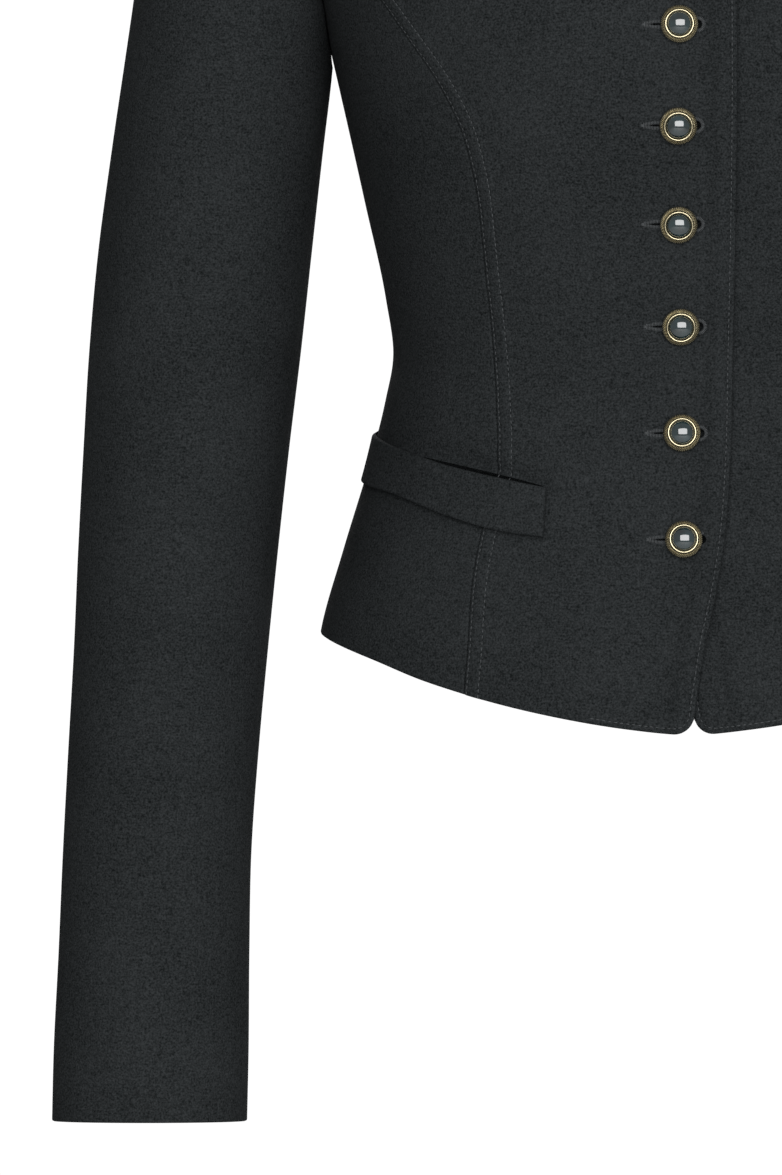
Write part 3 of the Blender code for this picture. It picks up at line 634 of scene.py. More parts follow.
def finished(name, points, faces, finish, sharp=True):
    """A piece on its own mesh, its faces pointing outwards."""
    mesh = bpy.data.meshes.new(name)
    mesh.from_pydata(points.reshape(-1, 3).tolist(), [], faces)
    bm = bmesh.new()
    bm.from_mesh(mesh)
    bmesh.ops.recalc_face_normals(bm, faces=bm.faces)
    bm.to_mesh(mesh)
    bm.free()
    mesh.shade_smooth()
    if sharp:
        mesh.set_sharp_from_angle(angle=SHARP_EDGE)
    mesh.materials.append(finish)
    return linked(name, mesh)


def cloth(name, points, normals, lift, edge):
    """A wall of wool whose edges, at these distances, are turned in. Returns its outer face too."""
    outer = points + normals * (lift - rolled(edge))[..., None]
    inner = points - normals * WALL
    rows, columns = points.shape[:2]
    at = np.arange(rows * columns).reshape(rows, columns)
    top = np.stack([at[:-1, :-1], at[:-1, 1:], at[1:, 1:], at[1:, :-1]], axis=-1).reshape(-1, 4)
    under = top[:, ::-1] + rows * columns
    rim = np.concatenate([at[0], at[1:, -1], at[-1, -2::-1], at[-2:0:-1, 0]])
    ahead = np.roll(rim, -1)
    side = np.stack([ahead, rim, rim + rows * columns, ahead + rows * columns], axis=-1)
    faces = np.concatenate([top, under, side]).tolist()
    return finished(name, np.stack([outer, inner]), faces, wool), outer


def prism(name, outline, along):
    """A solid with a flat outline, carried on along a way."""
    mesh = bpy.data.meshes.new(name)
    bm = bmesh.new()
    face = bm.faces.new([bm.verts.new(p) for p in outline])
    lifted = bmesh.ops.extrude_face_region(bm, geom=[face])
    raised = [v for v in lifted["geom"] if isinstance(v, bmesh.types.BMVert)]
    bmesh.ops.translate(bm, verts=raised, vec=along)
    bmesh.ops.recalc_face_normals(bm, faces=bm.faces)
    bm.to_mesh(mesh)
    bm.free()
    return linked(name, mesh)


def cut(piece, cutter):
    """Takes the cutter out of a piece and leaves plain mesh."""
    boolean = piece.modifiers.new("opening", "BOOLEAN")
    boolean.operation = "DIFFERENCE"
    boolean.solver = "EXACT"
    boolean.object = cutter
    whole = piece.evaluated_get(bpy.context.evaluated_depsgraph_get())
    mesh = bpy.data.meshes.new_from_object(whole)
    piece.modifiers.clear()
    piece.data = mesh
    bpy.data.objects.remove(cutter)


def neck_prism(drop):
    """What the neckline cuts away: a half ellipse carried on upwards."""
    turns = np.linspace(0, math.pi, NECK_STEPS + 1)
    reach = 2 * NECK_HALF_WIDTH
    outline = [(NECK_HALF_WIDTH * math.cos(t), -reach, -drop * math.sin(t)) for t in turns]
    outline += [(side * NECK_HALF_WIDTH, -reach, NECK_HALF_WIDTH) for side in (-1, 1)]
    return prism("neck", outline, (0, 2 * reach, 0))


def rounded_corner(points, edge, hem):
    """Draws the lower front corner of a sheet in to a quarter round."""
    side, up = CORNER_RADIUS - edge, CORNER_RADIUS - hem
    inside = (side > 0) & (up > 0)
    far = np.maximum(side, up) / np.maximum(np.hypot(side, up), 1e-9)
    in_by = np.where(inside, side * (1 - far), 0)
    up_by = np.where(inside, up * (1 - far), 0)
    across = np.gradient(points, axis=1)
    upwards = np.gradient(points, axis=0)
    across = unit(across)
    upwards = unit(upwards)
    return points + across * in_by[..., None] + upwards * up_by[..., None]


def seam_relief(distance, edge_z, top):
    """Seam allowances stitched down beneath a panel: a low band between two grooves."""
    here = eased((top - SEAM_STARTS[0] - edge_z) / SEAM_STARTS[1])[:, None]
    far = eased((BAND_ENDS[0] - distance) / BAND_ENDS[1])
    band = SEAM_RISE * eased(distance / BAND_RISES) * far
    grooves = sum(bump(distance, at, GROOVE_WIDTH, -GROOVE_DEPTH) for at in SEAM_ROWS_AT)
    return here * (band + grooves)


def front(name, upper_layer, side):
    """A centre front, side -1 on the wearer's right. Returns it, its outer face and normals."""
    sheet = panel_sheet(
        PRINCESS_SEAM, FRONT_ARMHOLE, lambda z: front_edge_x(z, upper_layer), False
    )
    x, drop = sheet[..., 0], sheet[..., 1]
    points, normals = body_by_drop(x, drop, False), normals_by_drop(x, drop, False)
    if not upper_layer:
        lap = read(FRONT_EDGE, points[..., 2])[0]
        sunk = (WALL + LAYER_GAP) * (1 - eased((x - lap) / UNDERLAP_EASE))
        points = points - normals * sunk[..., None]
    points, normals = refined(
        points, normals, (STITCHED_LINES, SEAM_LINES), (STITCHED_LINES, EDGE_LINES)
    )
    edge, seam, hem, _, near = borders(points)
    edge_z = points[:, -1, 2]
    points = rounded_corner(points, edge, hem) * (side, 1, 1)
    normals = normals * (side, 1, 1)
    lift = seam_relief(seam, edge_z, PRINCESS_SEAM[-1][0])
    lift += bump(edge, *EDGE_RIDGE) + bump(edge, *EDGE_TROUGH)
    rim = np.minimum(edge, hem + edge * CORNER_LEAN)
    lift += bump(rim, EDGE_ROW, GROOVE_WIDTH, -GROOVE_DEPTH)
    moved = points + normals * (creased(points) + pocket_dip(points))[..., None]
    piece, outer = cloth(name, moved, normals, lift, near)
    return piece, outer, normals


front_right, face_right, tilt_right = front("cloth_front_right", True, -1)
cut(front_right, neck_prism(NECK_FRONT_DROP))
front_left, face_left, tilt_left = front("cloth_front_left", False, 1)
cut(front_left, neck_prism(NECK_FRONT_DROP))
for piece, node in ((front_right, "front_right"), (front_left, "front_left")):
    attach(piece, "root")
    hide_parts(node)

# Side fronts and side backs
# Four panels of the same cloth between the princess seams, the side seams and the back seams,
# sewn in at all their upright edges.


def side_panel(name, seam, back, side):
    sheet = inset_by_angle(side_sheet(seam, back))
    angle, z = sheet[..., 0], sheet[..., 1]
    points = body_by_angle(angle, z)
    normals = normals_of(body_by_angle, angle, z)
    points, normals = refined(points, normals)
    near = borders(points)[-1]
    points, normals = points * (side, 1, 1), normals * (side, 1, 1)
    moved = points + normals * (creased(points) + pocket_dip(points))[..., None]
    return cloth(name, moved, normals, 0 * near, near)[0]


sides = {}  # the side fronts, which the pockets' mouths are cut into
for side, where in ((-1, "right"), (1, "left")):
    for panel, seam, back in (("side_front", PRINCESS_SEAM, False), ("side_back", BACK_SEAM, True)):
        piece = side_panel(f"cloth_{panel}_{where}", seam, back, side)
        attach(piece, "root")
        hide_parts(f"{panel}_{where}")
        if not back:
            sides[where] = piece

# Back
# One panel of the same cloth cut on the fold, sewn in at its two shaped seams, which are stitched
# down like the princess seams, and at the shoulders.

FOLD_LINES = (0, 0.002)  # distances of the mesh's lines from the fold

sheet = panel_sheet(BACK_SEAM, BACK_ARMHOLE, lambda z: 0 * z, True)
x, drop = sheet[..., 0], sheet[..., 1]
points, normals = body_by_drop(x, drop, True), normals_by_drop(x, drop, True)
points, normals = refined(points, normals, (FOLD_LINES, SEAM_LINES))
points = np.concatenate([(points * (-1, 1, 1))[:, :0:-1], points], axis=1)
normals = np.concatenate([(normals * (-1, 1, 1))[:, :0:-1], normals], axis=1)
first, last, _, _, near = borders(points)
lift = seam_relief(np.minimum(first, last), points[:, -1, 2], BACK_SEAM[-1][0])
moved = points + normals * creased(points)[..., None]
back, face_back = cloth("cloth_back", moved, normals, lift, near)
tilt_back = normals
cut(back, neck_prism(NECK_BACK_DROP))
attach(back, "root")
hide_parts("back_centre")

# Sleeves
# Two-piece sleeves of the same cloth, set into the armholes without gathers and seamed down the
# front and back of the inner arm. The cuffs are plain turned edges.

SLEEVE = (
    # height, outer_edge, inner_edge, centre_y, half_depth
    (-0.7180, 0.2687, 0.1853, -0.0200, 0.0380),
    (-0.6890, 0.2681, 0.1847, -0.0180, 0.0385),
    (-0.6460, 0.2661, 0.1844, -0.0150, 0.0395),
    (-0.6030, 0.2644, 0.1836, -0.0110, 0.0410),
    (-0.5600, 0.2623, 0.1806, -0.0070, 0.0430),
    (-0.5170, 0.2601, 0.1767, -0.0020, 0.0455),
    (-0.4740, 0.2584, 0.1724, 0.0020, 0.0480),
    (-0.4310, 0.2562, 0.1677, 0.0040, 0.0500),
    (-0.3880, 0.2537, 0.1625, 0.0050, 0.0520),
    (-0.3450, 0.2498, 0.1578, 0.0050, 0.0540),
    (-0.3020, 0.2438, 0.1530, 0.0040, 0.0555),
    (-0.2700, 0.2390, 0.1492, 0.0030, 0.0565),
    (-0.2450, 0.2355, 0.1470, 0.0020, 0.0575),
)
SLEEVE_TOP_RING = -0.245
CUFF_Z = -0.718
CUFF_FRONT_LIFT = 0.0016
CUFF_HALF_DEPTH = 0.038
CAP_LEAVES = (0.080, 0.012, 0.050)  # how the cap leaves the armhole: outwards, forwards, down
CAP_OUT_FALLOFF = 0.68  # less makes the cap stand out further round
CAP_DOWN_LEAST = 0.4  # share of the downward pull left at the underarm
CAP_DOWN_FALLOFF = 0.3
CAP_TURN_FROM = 0.45  # above this share of the armhole the cap's end follows the body
CAP_TURN_OVER = 0.3
CAP_TURN_SECOND = 0.4  # and this much of it still in the next row
RING_STEP = 0.010  # height over which the sleeve's direction is read
CUFF_LIFT_POWER = 4  # more keeps the cuff's slant nearer to the cuff
ARMHOLE_STEP = 0.00035  # from the armhole's edge to the sleeve
SLEEVE_CLEARANCE = 0.0006  # between the sleeve and the body beside it
EDGE_ROOM = 0.002  # the sleeve also keeps clear this far above the armhole's edge
CAP_ROWS = 80
SLEEVE_ROWS = 200
FRONT_SEAM_COLUMN = 110
BACK_SEAM_COLUMN = 170
TURN_STEP = 0.01  # turn over which the way round the sleeve is read
SLEEVE_WANDER = (0.3, 2.3)  # how much a crease's width varies and how often
SLEEVE_CREASES = (
    # side, angle, height, lean, length, width, rise
    (-1, 118, -0.408, 70, 0.028, 0.0075, -0.0010),
    (-1, 140, -0.384, 62, 0.032, 0.0085, 0.0009),
    (-1, 128, -0.438, 98, 0.030, 0.0085, 0.0008),
    (-1, 78, -0.300, 22, 0.070, 0.0150, 0.0008),
    (-1, 52, -0.500, -8, 0.090, 0.0140, -0.0007),
    (-1, 98, -0.600, 7, 0.080, 0.0130, 0.0007),
    (-1, 35, -0.245, 28, 0.060, 0.0160, 0.0008),
    (-1, 95, -0.205, 38, 0.045, 0.0120, -0.0008),
    (-1, 232, -0.398, 104, 0.034, 0.0090, 0.0010),
    (-1, 250, -0.430, 84, 0.034, 0.0080, -0.0010),
    (-1, 300, -0.320, -20, 0.070, 0.0150, 0.0008),
    (-1, 265, -0.580, 6, 0.090, 0.0140, -0.0007),
    (1, 120, -0.414, 110, 0.028, 0.0075, -0.0010),
    (1, 142, -0.390, 118, 0.032, 0.0085, 0.0009),
    (1, 126, -0.445, 84, 0.030, 0.0085, 0.0008),
    (1, 80, -0.310, -20, 0.070, 0.0150, 0.0008),
    (1, 50, -0.505, 9, 0.090, 0.0140, -0.0007),
    (1, 96, -0.612, -7, 0.080, 0.0130, 0.0007),
    (1, 36, -0.250, -28, 0.060, 0.0160, 0.0008),
    (1, 95, -0.208, -38, 0.045, 0.0120, -0.0008),
    (1, 235, -0.402, 76, 0.034, 0.0090, 0.0010),
    (1, 248, -0.436, 96, 0.034, 0.0080, -0.0010),
    (1, 302, -0.330, 20, 0.070, 0.0150, 0.0008),
    (1, 262, -0.586, -6, 0.090, 0.0140, -0.0007),
)


def armhole_loop():
    """The armhole's points from the shoulder round the front and back, with the cloth's normals."""
    points, normals = [], []
    halves = ((FRONT_ARMHOLE, PRINCESS_SEAM, False), (BACK_ARMHOLE, BACK_SEAM, True))
    for armhole, seam, back in halves:
        run = to_drop(armhole_run(armhole, back))[::-1]
        run[0, 1] = 0
        upper = body_by_drop(run[:, 0], run[:, 1], back)
        tilt = normals_by_drop(run[:, 0], run[:, 1] + STEP, back)
        low = side_sheet(seam, back)[-1]
        lower = body_by_angle(low[:, 0], low[:, 1])
        lower_tilt = normals_of(body_by_angle, low[:, 0], low[:, 1])
        points.append(np.concatenate([upper, lower[1:]]))
        normals.append(np.concatenate([tilt, lower_tilt[1:]]))
    loop = np.concatenate([points[0], points[1][-2:0:-1]])
    out = np.concatenate([normals[0], normals[1][-2:0:-1]])
    return loop, out


def sleeve_ring(theta, z):
    """Points round the sleeve at a height, 0 at the outer side, a quarter turn at the front."""
    outer, inner, centre_y, half_depth = read(SLEEVE, z)
    centre, half = (outer + inner) / 2, (outer - inner) / 2
    x = centre + half * np.cos(theta)
    y = centre_y - half_depth * np.sin(theta)
    return np.stack([x, y, z + 0 * theta], axis=-1)


def keep_clear(points, front_top, back_top):
    """Moves the sleeve's points out of the body beside it, given where the body seams end above."""
    points = points.copy()
    angle = np.arctan2(points[..., 0], -points[..., 1])
    edge = np.where(
        angle < SIDE_SEAM_ANGLE, underarm_z(angle, *front_top), underarm_z(angle, *back_top)
    )
    body = body_by_angle(angle, points[..., 2])
    reach = np.hypot(body[..., 0], body[..., 1]) + SLEEVE_CLEARANCE
    mine = np.hypot(points[..., 0], points[..., 1])
    beside = (points[..., 2] < edge + EDGE_ROOM) & (mine < reach)
    grow = np.where(beside, reach / mine, 1)
    points[..., 0] *= grow
    points[..., 1] *= grow
    return points


def sleeve_sheet():
    """The sleeve's outer points and normals: rows from the armhole down, columns round it.

    Near the shoulder the cap's end takes the body's own normals, so the two walls meet end to end.
    """
    loop, out = armhole_loop()
    ahead = np.roll(loop, -1, axis=0) - np.roll(loop, 1, axis=0)
    away = np.cross(out, ahead)
    away = unit(away)
    low = (1 - (loop[:, 2] - UNDERARM_Z) / (SHOULDER_Z - UNDERARM_Z))[:, None]
    start = loop + ARMHOLE_STEP * away + ARMHOLE_STEP * low * out
    run = run_of(np.vstack([loop, loop[:1]]))
    bottom = SIDE_COLUMNS + ARMHOLE_ROWS
    places = np.where(
        np.arange(len(loop)) <= bottom,
        run[:-1] / run[bottom] * math.pi,
        math.pi + (run[:-1] - run[bottom]) / (run[-1] - run[bottom]) * math.pi,
    )
    ring = sleeve_ring(places, SLEEVE_TOP_RING)
    below = sleeve_ring(places, SLEEVE_TOP_RING - RING_STEP)
    flow = (below - ring) / RING_STEP
    drop = np.abs(start[:, 2] - ring[:, 2])[:, None]
    high = ((1 + np.cos(places)) / 2)[:, None]
    leave = np.concatenate(
        [
            CAP_LEAVES[0] * high**CAP_OUT_FALLOFF,
            -CAP_LEAVES[1] * np.sin(places)[:, None],
            -CAP_LEAVES[2] * (CAP_DOWN_LEAST + (1 - CAP_DOWN_LEAST) * high**CAP_DOWN_FALLOFF),
        ],
        axis=1,
    )
    rows = []
    for t in np.linspace(0, 1, CAP_ROWS + 1):
        from_start = start * (1 + 2 * t) * (1 - t) ** 2 + leave * t * (1 - t) ** 2
        to_ring = ring * t * t * (3 - 2 * t) - flow * drop * t * t * (1 - t)
        rows.append(from_start + to_ring)
    for z in np.linspace(SLEEVE_TOP_RING, CUFF_Z, SLEEVE_ROWS + 1)[1:]:
        level = sleeve_ring(places, z)
        share = np.clip((SLEEVE_TOP_RING - z) / (SLEEVE_TOP_RING - CUFF_Z), 0, 1)
        share **= CUFF_LIFT_POWER
        centre_y = read(SLEEVE, z)[2]
        level[:, 2] += share * CUFF_FRONT_LIFT * (centre_y - level[:, 1]) / CUFF_HALF_DEPTH
        rows.append(level)
    sheet = np.array(rows)
    front_top = side_sheet(PRINCESS_SEAM, False)[-1, 0]
    back_top = side_sheet(BACK_SEAM, True)[-1, 0]
    sheet[1:] = keep_clear(sheet[1:], front_top, back_top)
    normals = sheet_normals(sheet)
    level = np.clip((high - CAP_TURN_FROM) / CAP_TURN_OVER, 0, 1)
    for row, part in ((0, 1.0), (1, CAP_TURN_SECOND)):
        tilt = normals[row] * (1 - level * part) + out * level * part
        normals[row] = unit(tilt)
    return sheet, normals


def sheet_normals(sheet):
    """Normals of a tube's sheet, from its neighbouring rows and columns."""
    round_it = np.roll(sheet, -1, axis=1) - np.roll(sheet, 1, axis=1)
    down = np.gradient(sheet, axis=0)
    normal = np.cross(round_it, down)
    return unit(normal)


def sleeve_creased(points, side):
    """How far a sleeve's cloth stands out of its form at its soft creases."""
    total = np.zeros(points.shape[:-1])
    for which, angle, z, lean, length, width, rise in SLEEVE_CREASES:
        if which != side:
            continue
        theta = math.radians(angle)
        centre = sleeve_ring(theta, z) * (side, 1, 1)
        round_it = sleeve_ring(theta + TURN_STEP, z) - sleeve_ring(theta - TURN_STEP, z)
        round_it = round_it * (side, 1, 1)
        round_it = unit(round_it)
        turn = math.radians(lean)
        way = round_it * math.sin(turn) + np.array([0, 0, math.cos(turn)])
        way = unit(way)
        from_centre = points - centre
        along = from_centre @ way
        across = np.linalg.norm(from_centre - along[..., None] * way, axis=-1)
        wander, often = SLEEVE_WANDER
        uneven = 1 + wander * np.sin(along / length * often + angle)
        total = total + rise * np.exp(-((along / length) ** 2) - (across / (width * uneven)) ** 2)
    return total


sheet, sheet_tilt = sleeve_sheet()
count = sheet.shape[1]
for part, columns in (
    ("upper", list(range(BACK_SEAM_COLUMN, count)) + list(range(FRONT_SEAM_COLUMN + 1))),
    ("under", list(range(FRONT_SEAM_COLUMN, BACK_SEAM_COLUMN + 1))),
):
    half = sheet[:, columns].copy()
    for rim, inward in ((0, 1), (-1, -2)):
        way = half[:, inward] - half[:, rim]
        half[:, rim] += unit(way) * SEAM_GAP / 2
    fine, tilt = refined(half, sheet_tilt[:, columns])
    near = borders(fine)[-1]
    for side, where in ((-1, "right"), (1, "left")):
        points, normals = fine * (side, 1, 1), tilt * (side, 1, 1)
        moved = points + normals * sleeve_creased(points, side)[..., None]
        piece = cloth(f"cloth_sleeve_{part}_{where}", moved, normals, 0 * near, near)[0]
        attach(piece, "root")
        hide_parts(f"sleeve_{part}_{where}")

# Pocket welts
# Slanting strips of doubled cloth sewn over the princess seams at their lower edges and ends.
# The upper edge stands a little open over the pocket's mouth, a slit through the fronts.

WELT_EDGE = (
    # angle_from_centre_front, top, bottom
    (29.3, -0.4487, -0.4693),
    (38.0, -0.4450, -0.4668),
    (48.0, -0.4405, -0.4612),
    (63.0, -0.4328, -0.4515),
    (79.0, -0.4262, -0.4463),
    (93.5, -0.4225, -0.4425),
)
WELT_GAP = 0.0007
WELT_STAND_OFF = 0.0012  # how far the pocket's mouth stands open
WELT_PRESSED = 0.045  # length of the end that is pressed flat into the side seam
WELT_SUNK = 0.6  # share of the gap that the pressed end gives up
WELT_THINNED = 0.0021
WELT_COLUMNS = 61
WELT_ROWS = 15
MOUTH_HEIGHT = 0.0020  # the pocket's mouth where it stands widest open
MOUTH_END = 0.112  # its far end, from the centre plane
MOUTH_BEHIND = 0.0004  # how far its lower lip lies behind the welt's edge
MOUTH_LEAST = 0.0003
MOUTH_TAPER = 0.02
MOUTH_CUTTER = (-0.2, 0.18)  # where it starts in front of the body, and its length
MOUTH_INSET = 2  # lines of the welt's mesh from its end to the mouth's

angle = np.radians(np.linspace(WELT_EDGE[0][0], WELT_EDGE[-1][0], WELT_COLUMNS))
upper_edge, lower_edge = read(WELT_EDGE, np.degrees(angle))
share = np.linspace(0, 1, WELT_ROWS)[:, None]
z = lower_edge + (upper_edge - lower_edge) * share
angle = np.broadcast_to(angle, z.shape)
normals = normals_of(body_by_angle, angle, z)
bow = np.sin(np.linspace(0, 1, WELT_COLUMNS) * math.pi)[None]
stand = WELT_GAP + WALL + WELT_STAND_OFF * bow * share
points = body_by_angle(angle, z) + normals * stand[..., None]
points, normals = refined(points, normals)
_, seam, _, _, near = borders(points)
pressed = 1 - eased(seam / WELT_PRESSED)
points = points - normals * (WELT_GAP * WELT_SUNK * pressed)[..., None]
for side, where in ((-1, "right"), (1, "left")):
    here, tilt = points * (side, 1, 1), normals * (side, 1, 1)
    moved = here + tilt * creased(here)[..., None]
    piece = cloth(f"cloth_welt_{where}", moved, tilt, -WELT_THINNED * pressed, near)[0]
    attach(piece, "root")
    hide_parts(f"welt_{where}")

rim = points[-1][MOUTH_INSET:]
rim = rim[rim[:, 0] < MOUTH_END]
along = np.linspace(MOUTH_TAPER, 1 - MOUTH_TAPER, len(rim))
opening = np.maximum(MOUTH_HEIGHT * np.sqrt(np.sin(along * math.pi)), MOUTH_LEAST)
low = rim[:, 2] - MOUTH_BEHIND
lips = np.concatenate([rim, rim[::-1]])
lips[:, 1] = MOUTH_CUTTER[0]
lips[:, 2] = np.concatenate([low, (low + opening)[::-1]])
for side, where, centre in ((-1, "right", front_right), (1, "left", front_left)):
    for piece in (centre, sides[where]):
        cut(piece, prism("mouth", (lips * (side, 1, 1)).tolist(), (0, MOUTH_CUTTER[1], 0)))

# Stitching
# Matt polyester thread, a shade lighter than the cloth, 2.5 mm a stitch: double rows at the
# princess and back seams, and one row down the front edges and round the hem's corners.

STITCH_PITCH = 0.0025
STITCH_LENGTH = 0.0018
STITCH_RADIUS = 0.00027
STITCH_RINGS = (
    # place along, radius, dip
    (-1.0, 0.30, 1.00),
    (-0.7, 0.90, 0.40),
    (0.0, 1.00, 0.00),
    (0.7, 0.90, 0.40),
    (1.0, 0.30, 1.00),
)
STITCH_DIP = 0.00025
STITCH_SIDES = 6
STITCH_LIFT = 0.0001  # the thread's middle above the cloth
WAY_STEP = 0.0005  # length over which a row's way is read
SEAM_END = 0.004  # the rows end this far below a seam's top
NECK_TURN = 0.002  # and this far below the neckline
CORNER_STITCHED = 0.045  # how far the edge's row runs on along the hem
THREAD_COLOR = (0.052, 0.057, 0.060)
THREAD_SHADE = 0.45  # the darker part of the twist
TWIST_SIZE = 2600  # noise cells in a metre
TWIST_RANGE = (0.35, 0.65)

thread, tree, sockets = material("thread", {"Roughness": 0.6, "Specular IOR Level": 0.3})
twist = noise(tree, object_place(tree), TWIST_SIZE, 1)
dark_thread = tuple(THREAD_SHADE * c for c in THREAD_COLOR)
color = ramp(tree, twist, TWIST_RANGE, (dark_thread, THREAD_COLOR))
tree.links.new(color, sockets["Base Color"])


def picked(values, run, at):
    """Rows of a list of points or normals, read at lengths along its run."""
    return np.stack([np.interp(at, run, values[:, k]) for k in range(3)], axis=-1)


def row_of(path, tilts):
    """Places at even steps along a run on the cloth: points, ways along it and normals."""
    run = run_of(path)
    count = max(2, int(run[-1] / STITCH_PITCH))
    at = (np.arange(count) + 0.5) * run[-1] / count
    ways = picked(path, run, at + WAY_STEP) - picked(path, run, at - WAY_STEP)
    ways = unit(ways)
    tilt = picked(tilts, run, at)
    return picked(path, run, at), ways, unit(tilt)


def stitches(name, spots, ways, tilts, length, radius):
    """Many short arched threads as one piece."""
    sides = np.cross(tilts, ways)
    sides = unit(sides)
    turn = np.arange(STITCH_SIDES) / STITCH_SIDES * 2 * math.pi
    rings = []
    for along, thick, down in STITCH_RINGS:
        centre = spots + ways * along * length / 2 - tilts * STITCH_DIP * down
        out = tilts[:, None] * np.cos(turn)[:, None] + sides[:, None] * np.sin(turn)[:, None]
        rings.append(centre[:, None] + out * radius * thick)
    points = np.stack(rings, axis=1)
    amount, levels = len(spots), len(STITCH_RINGS)
    first = (np.arange(amount) * levels * STITCH_SIDES)[:, None]
    faces = []
    for level in range(levels - 1):
        for k in range(STITCH_SIDES):
            a = level * STITCH_SIDES + k
            b = level * STITCH_SIDES + (k + 1) % STITCH_SIDES
            faces.append(first + np.array([[a, b, b + STITCH_SIDES, a + STITCH_SIDES]]))
    round_it = np.arange(STITCH_SIDES)
    ends = [first + round_it[::-1], first + round_it + (levels - 1) * STITCH_SIDES]
    listed = np.concatenate(faces).tolist() + np.concatenate(ends).tolist()
    piece = finished(name, points, listed, thread, sharp=False)
    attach(piece, "root")


def along_seam(face, tilt, column, top):
    """The part of a sheet's column that lies below the seam's top."""
    keep = face[:, column, 2] < top - SEAM_END
    return face[keep, column], tilt[keep, column]


def sewn(name, rows):
    """One mesh of stitches for several rows on the same piece."""
    laid = [row_of(path, tilts) for path, tilts in rows]
    spots, ways, tilts = (np.concatenate(part) for part in zip(*laid))
    stitches(name, spots + tilts * STITCH_LIFT, ways, tilts, STITCH_LENGTH, STITCH_RADIUS)


def edge_rows(face, tilt):
    """The row down the front edge and on along the hem."""
    edge, _ = runs(face, 1)
    hem, _ = runs(face, 0)
    column = STITCHED_LINES.index(EDGE_ROW)
    last = int(np.searchsorted(edge[column], CORNER_STITCHED))
    below = face[:, column, 2] < -NECK_FRONT_DROP + NECK_TURN
    down = np.nonzero(below)[0][::-1]
    down = down[down >= column]
    path = np.concatenate([face[down, column], face[column, column + 1 : last]])
    tilts = np.concatenate([tilt[down, column], tilt[column, column + 1 : last]])
    return path, tilts


def seam_columns(amount):
    """The sheet's columns that the double row at its last edge follows."""
    return [amount - 1 - SEAM_LINES.index(at) for at in SEAM_ROWS_AT]


for where, face, tilt in (("right", face_right, tilt_right), ("left", face_left, tilt_left)):
    rows = [edge_rows(face, tilt)]
    for column in seam_columns(face.shape[1]):
        rows.append(along_seam(face, tilt, column, PRINCESS_SEAM[-1][0]))
    sewn(f"stitching_front_{where}", rows)
rows = []
for column in seam_columns(face_back.shape[1]):
    for here in (column, face_back.shape[1] - 1 - column):
        rows.append(along_seam(face_back, tilt_back, here, BACK_SEAM[-1][0]))
sewn("stitching_back", rows)

# Buttonholes
# Nine keyhole buttonholes cut level through the right front, their edges bound with close purl
# stitches of the same thread; the eyelet lies towards the front edge.

BUTTONS = (
    # height, distance_from_centre
    (-0.4701, 0.0022),
    (-0.4258, 0.0028),
    (-0.3815, 0.0032),
    (-0.3393, 0.0044),
    (-0.2988, 0.0049),
    (-0.2571, 0.0046),
    (-0.2154, 0.0046),
    (-0.1737, 0.0046),
    (-0.1320, 0.0046),
)
SLIT_START = -0.0137  # from the button's axis, as the lengths below
SLIT_HALF_WIDTH = 0.00045
SHANK_HOLE_RADIUS = 0.0025
EYELET_CENTRE = 0.0075
EYELET_RADIUS = 0.0019
ARC_POINTS = 6

PURL_PITCH = 0.00062
PURL_LENGTH = 0.0017
PURL_RADIUS = 0.00026
PURL_OUT = 0.00115  # from the slit's middle to the purl's middle
PURL_EYE = 0.0027
PURL_TAPER = 0.004  # length over which the two rows draw together at the slit's end
PURL_DRAWN = 0.45  # share of their distance that is left there
PURL_BEFORE = 0.0006  # how far before the slit they start
PURL_EYE_TURN = 2.55  # angles from the eyelet's outer side between which it is bound
PURL_EYE_COUNT = 26
PURL_BAR = (0.0011, 0.6)  # the bar's distance before the slit, and its share of PURL_OUT
PURL_LIFT = 0.00012


def button_place(height, distance):
    """Where a button stands on the upper front: a matrix with its axis along the cloth's normal."""
    x, z = np.array(distance), np.array(height)
    drop = drop_of(x, z)
    point = body_by_drop(x, drop, False)
    axis = Vector(normals_by_drop(x, drop, False) * (-1, 1, 1))
    across = Vector((1, 0, 0))
    across = (across - axis * across.dot(axis)).normalized()
    turn = Matrix((across, axis.cross(across), axis)).transposed().to_4x4()
    return Matrix.Translation(Vector(point * (-1, 1, 1))) @ turn


def arc(centre, radius, first, last):
    """Points on an arc in a flat outline."""
    return [
        (centre + radius * math.cos(turn), radius * math.sin(turn))
        for turn in np.linspace(first, last, ARC_POINTS)
    ]


def keyhole():
    """Flat outline of a buttonhole: slit, room for the shank, eyelet."""
    shank = math.asin(SLIT_HALF_WIDTH / SHANK_HOLE_RADIUS)
    eye = math.asin(SLIT_HALF_WIDTH / EYELET_RADIUS)
    upper = [(SLIT_START, SLIT_HALF_WIDTH)]
    upper += arc(0, SHANK_HOLE_RADIUS, math.pi - shank, shank)
    upper += arc(EYELET_CENTRE, EYELET_RADIUS, math.pi - eye, 0)
    lower = [(x, -y) for x, y in reversed(upper[:-1])]
    return upper + lower


def hole_prism(height, distance):
    """What a buttonhole cuts away."""
    place = button_place(height, distance)
    depth = WALL * 3
    outline = [place @ Vector((x, y, -depth)) for x, y in keyhole()]
    return prism("hole", outline, place.to_3x3() @ Vector((0, 0, 2 * depth)))


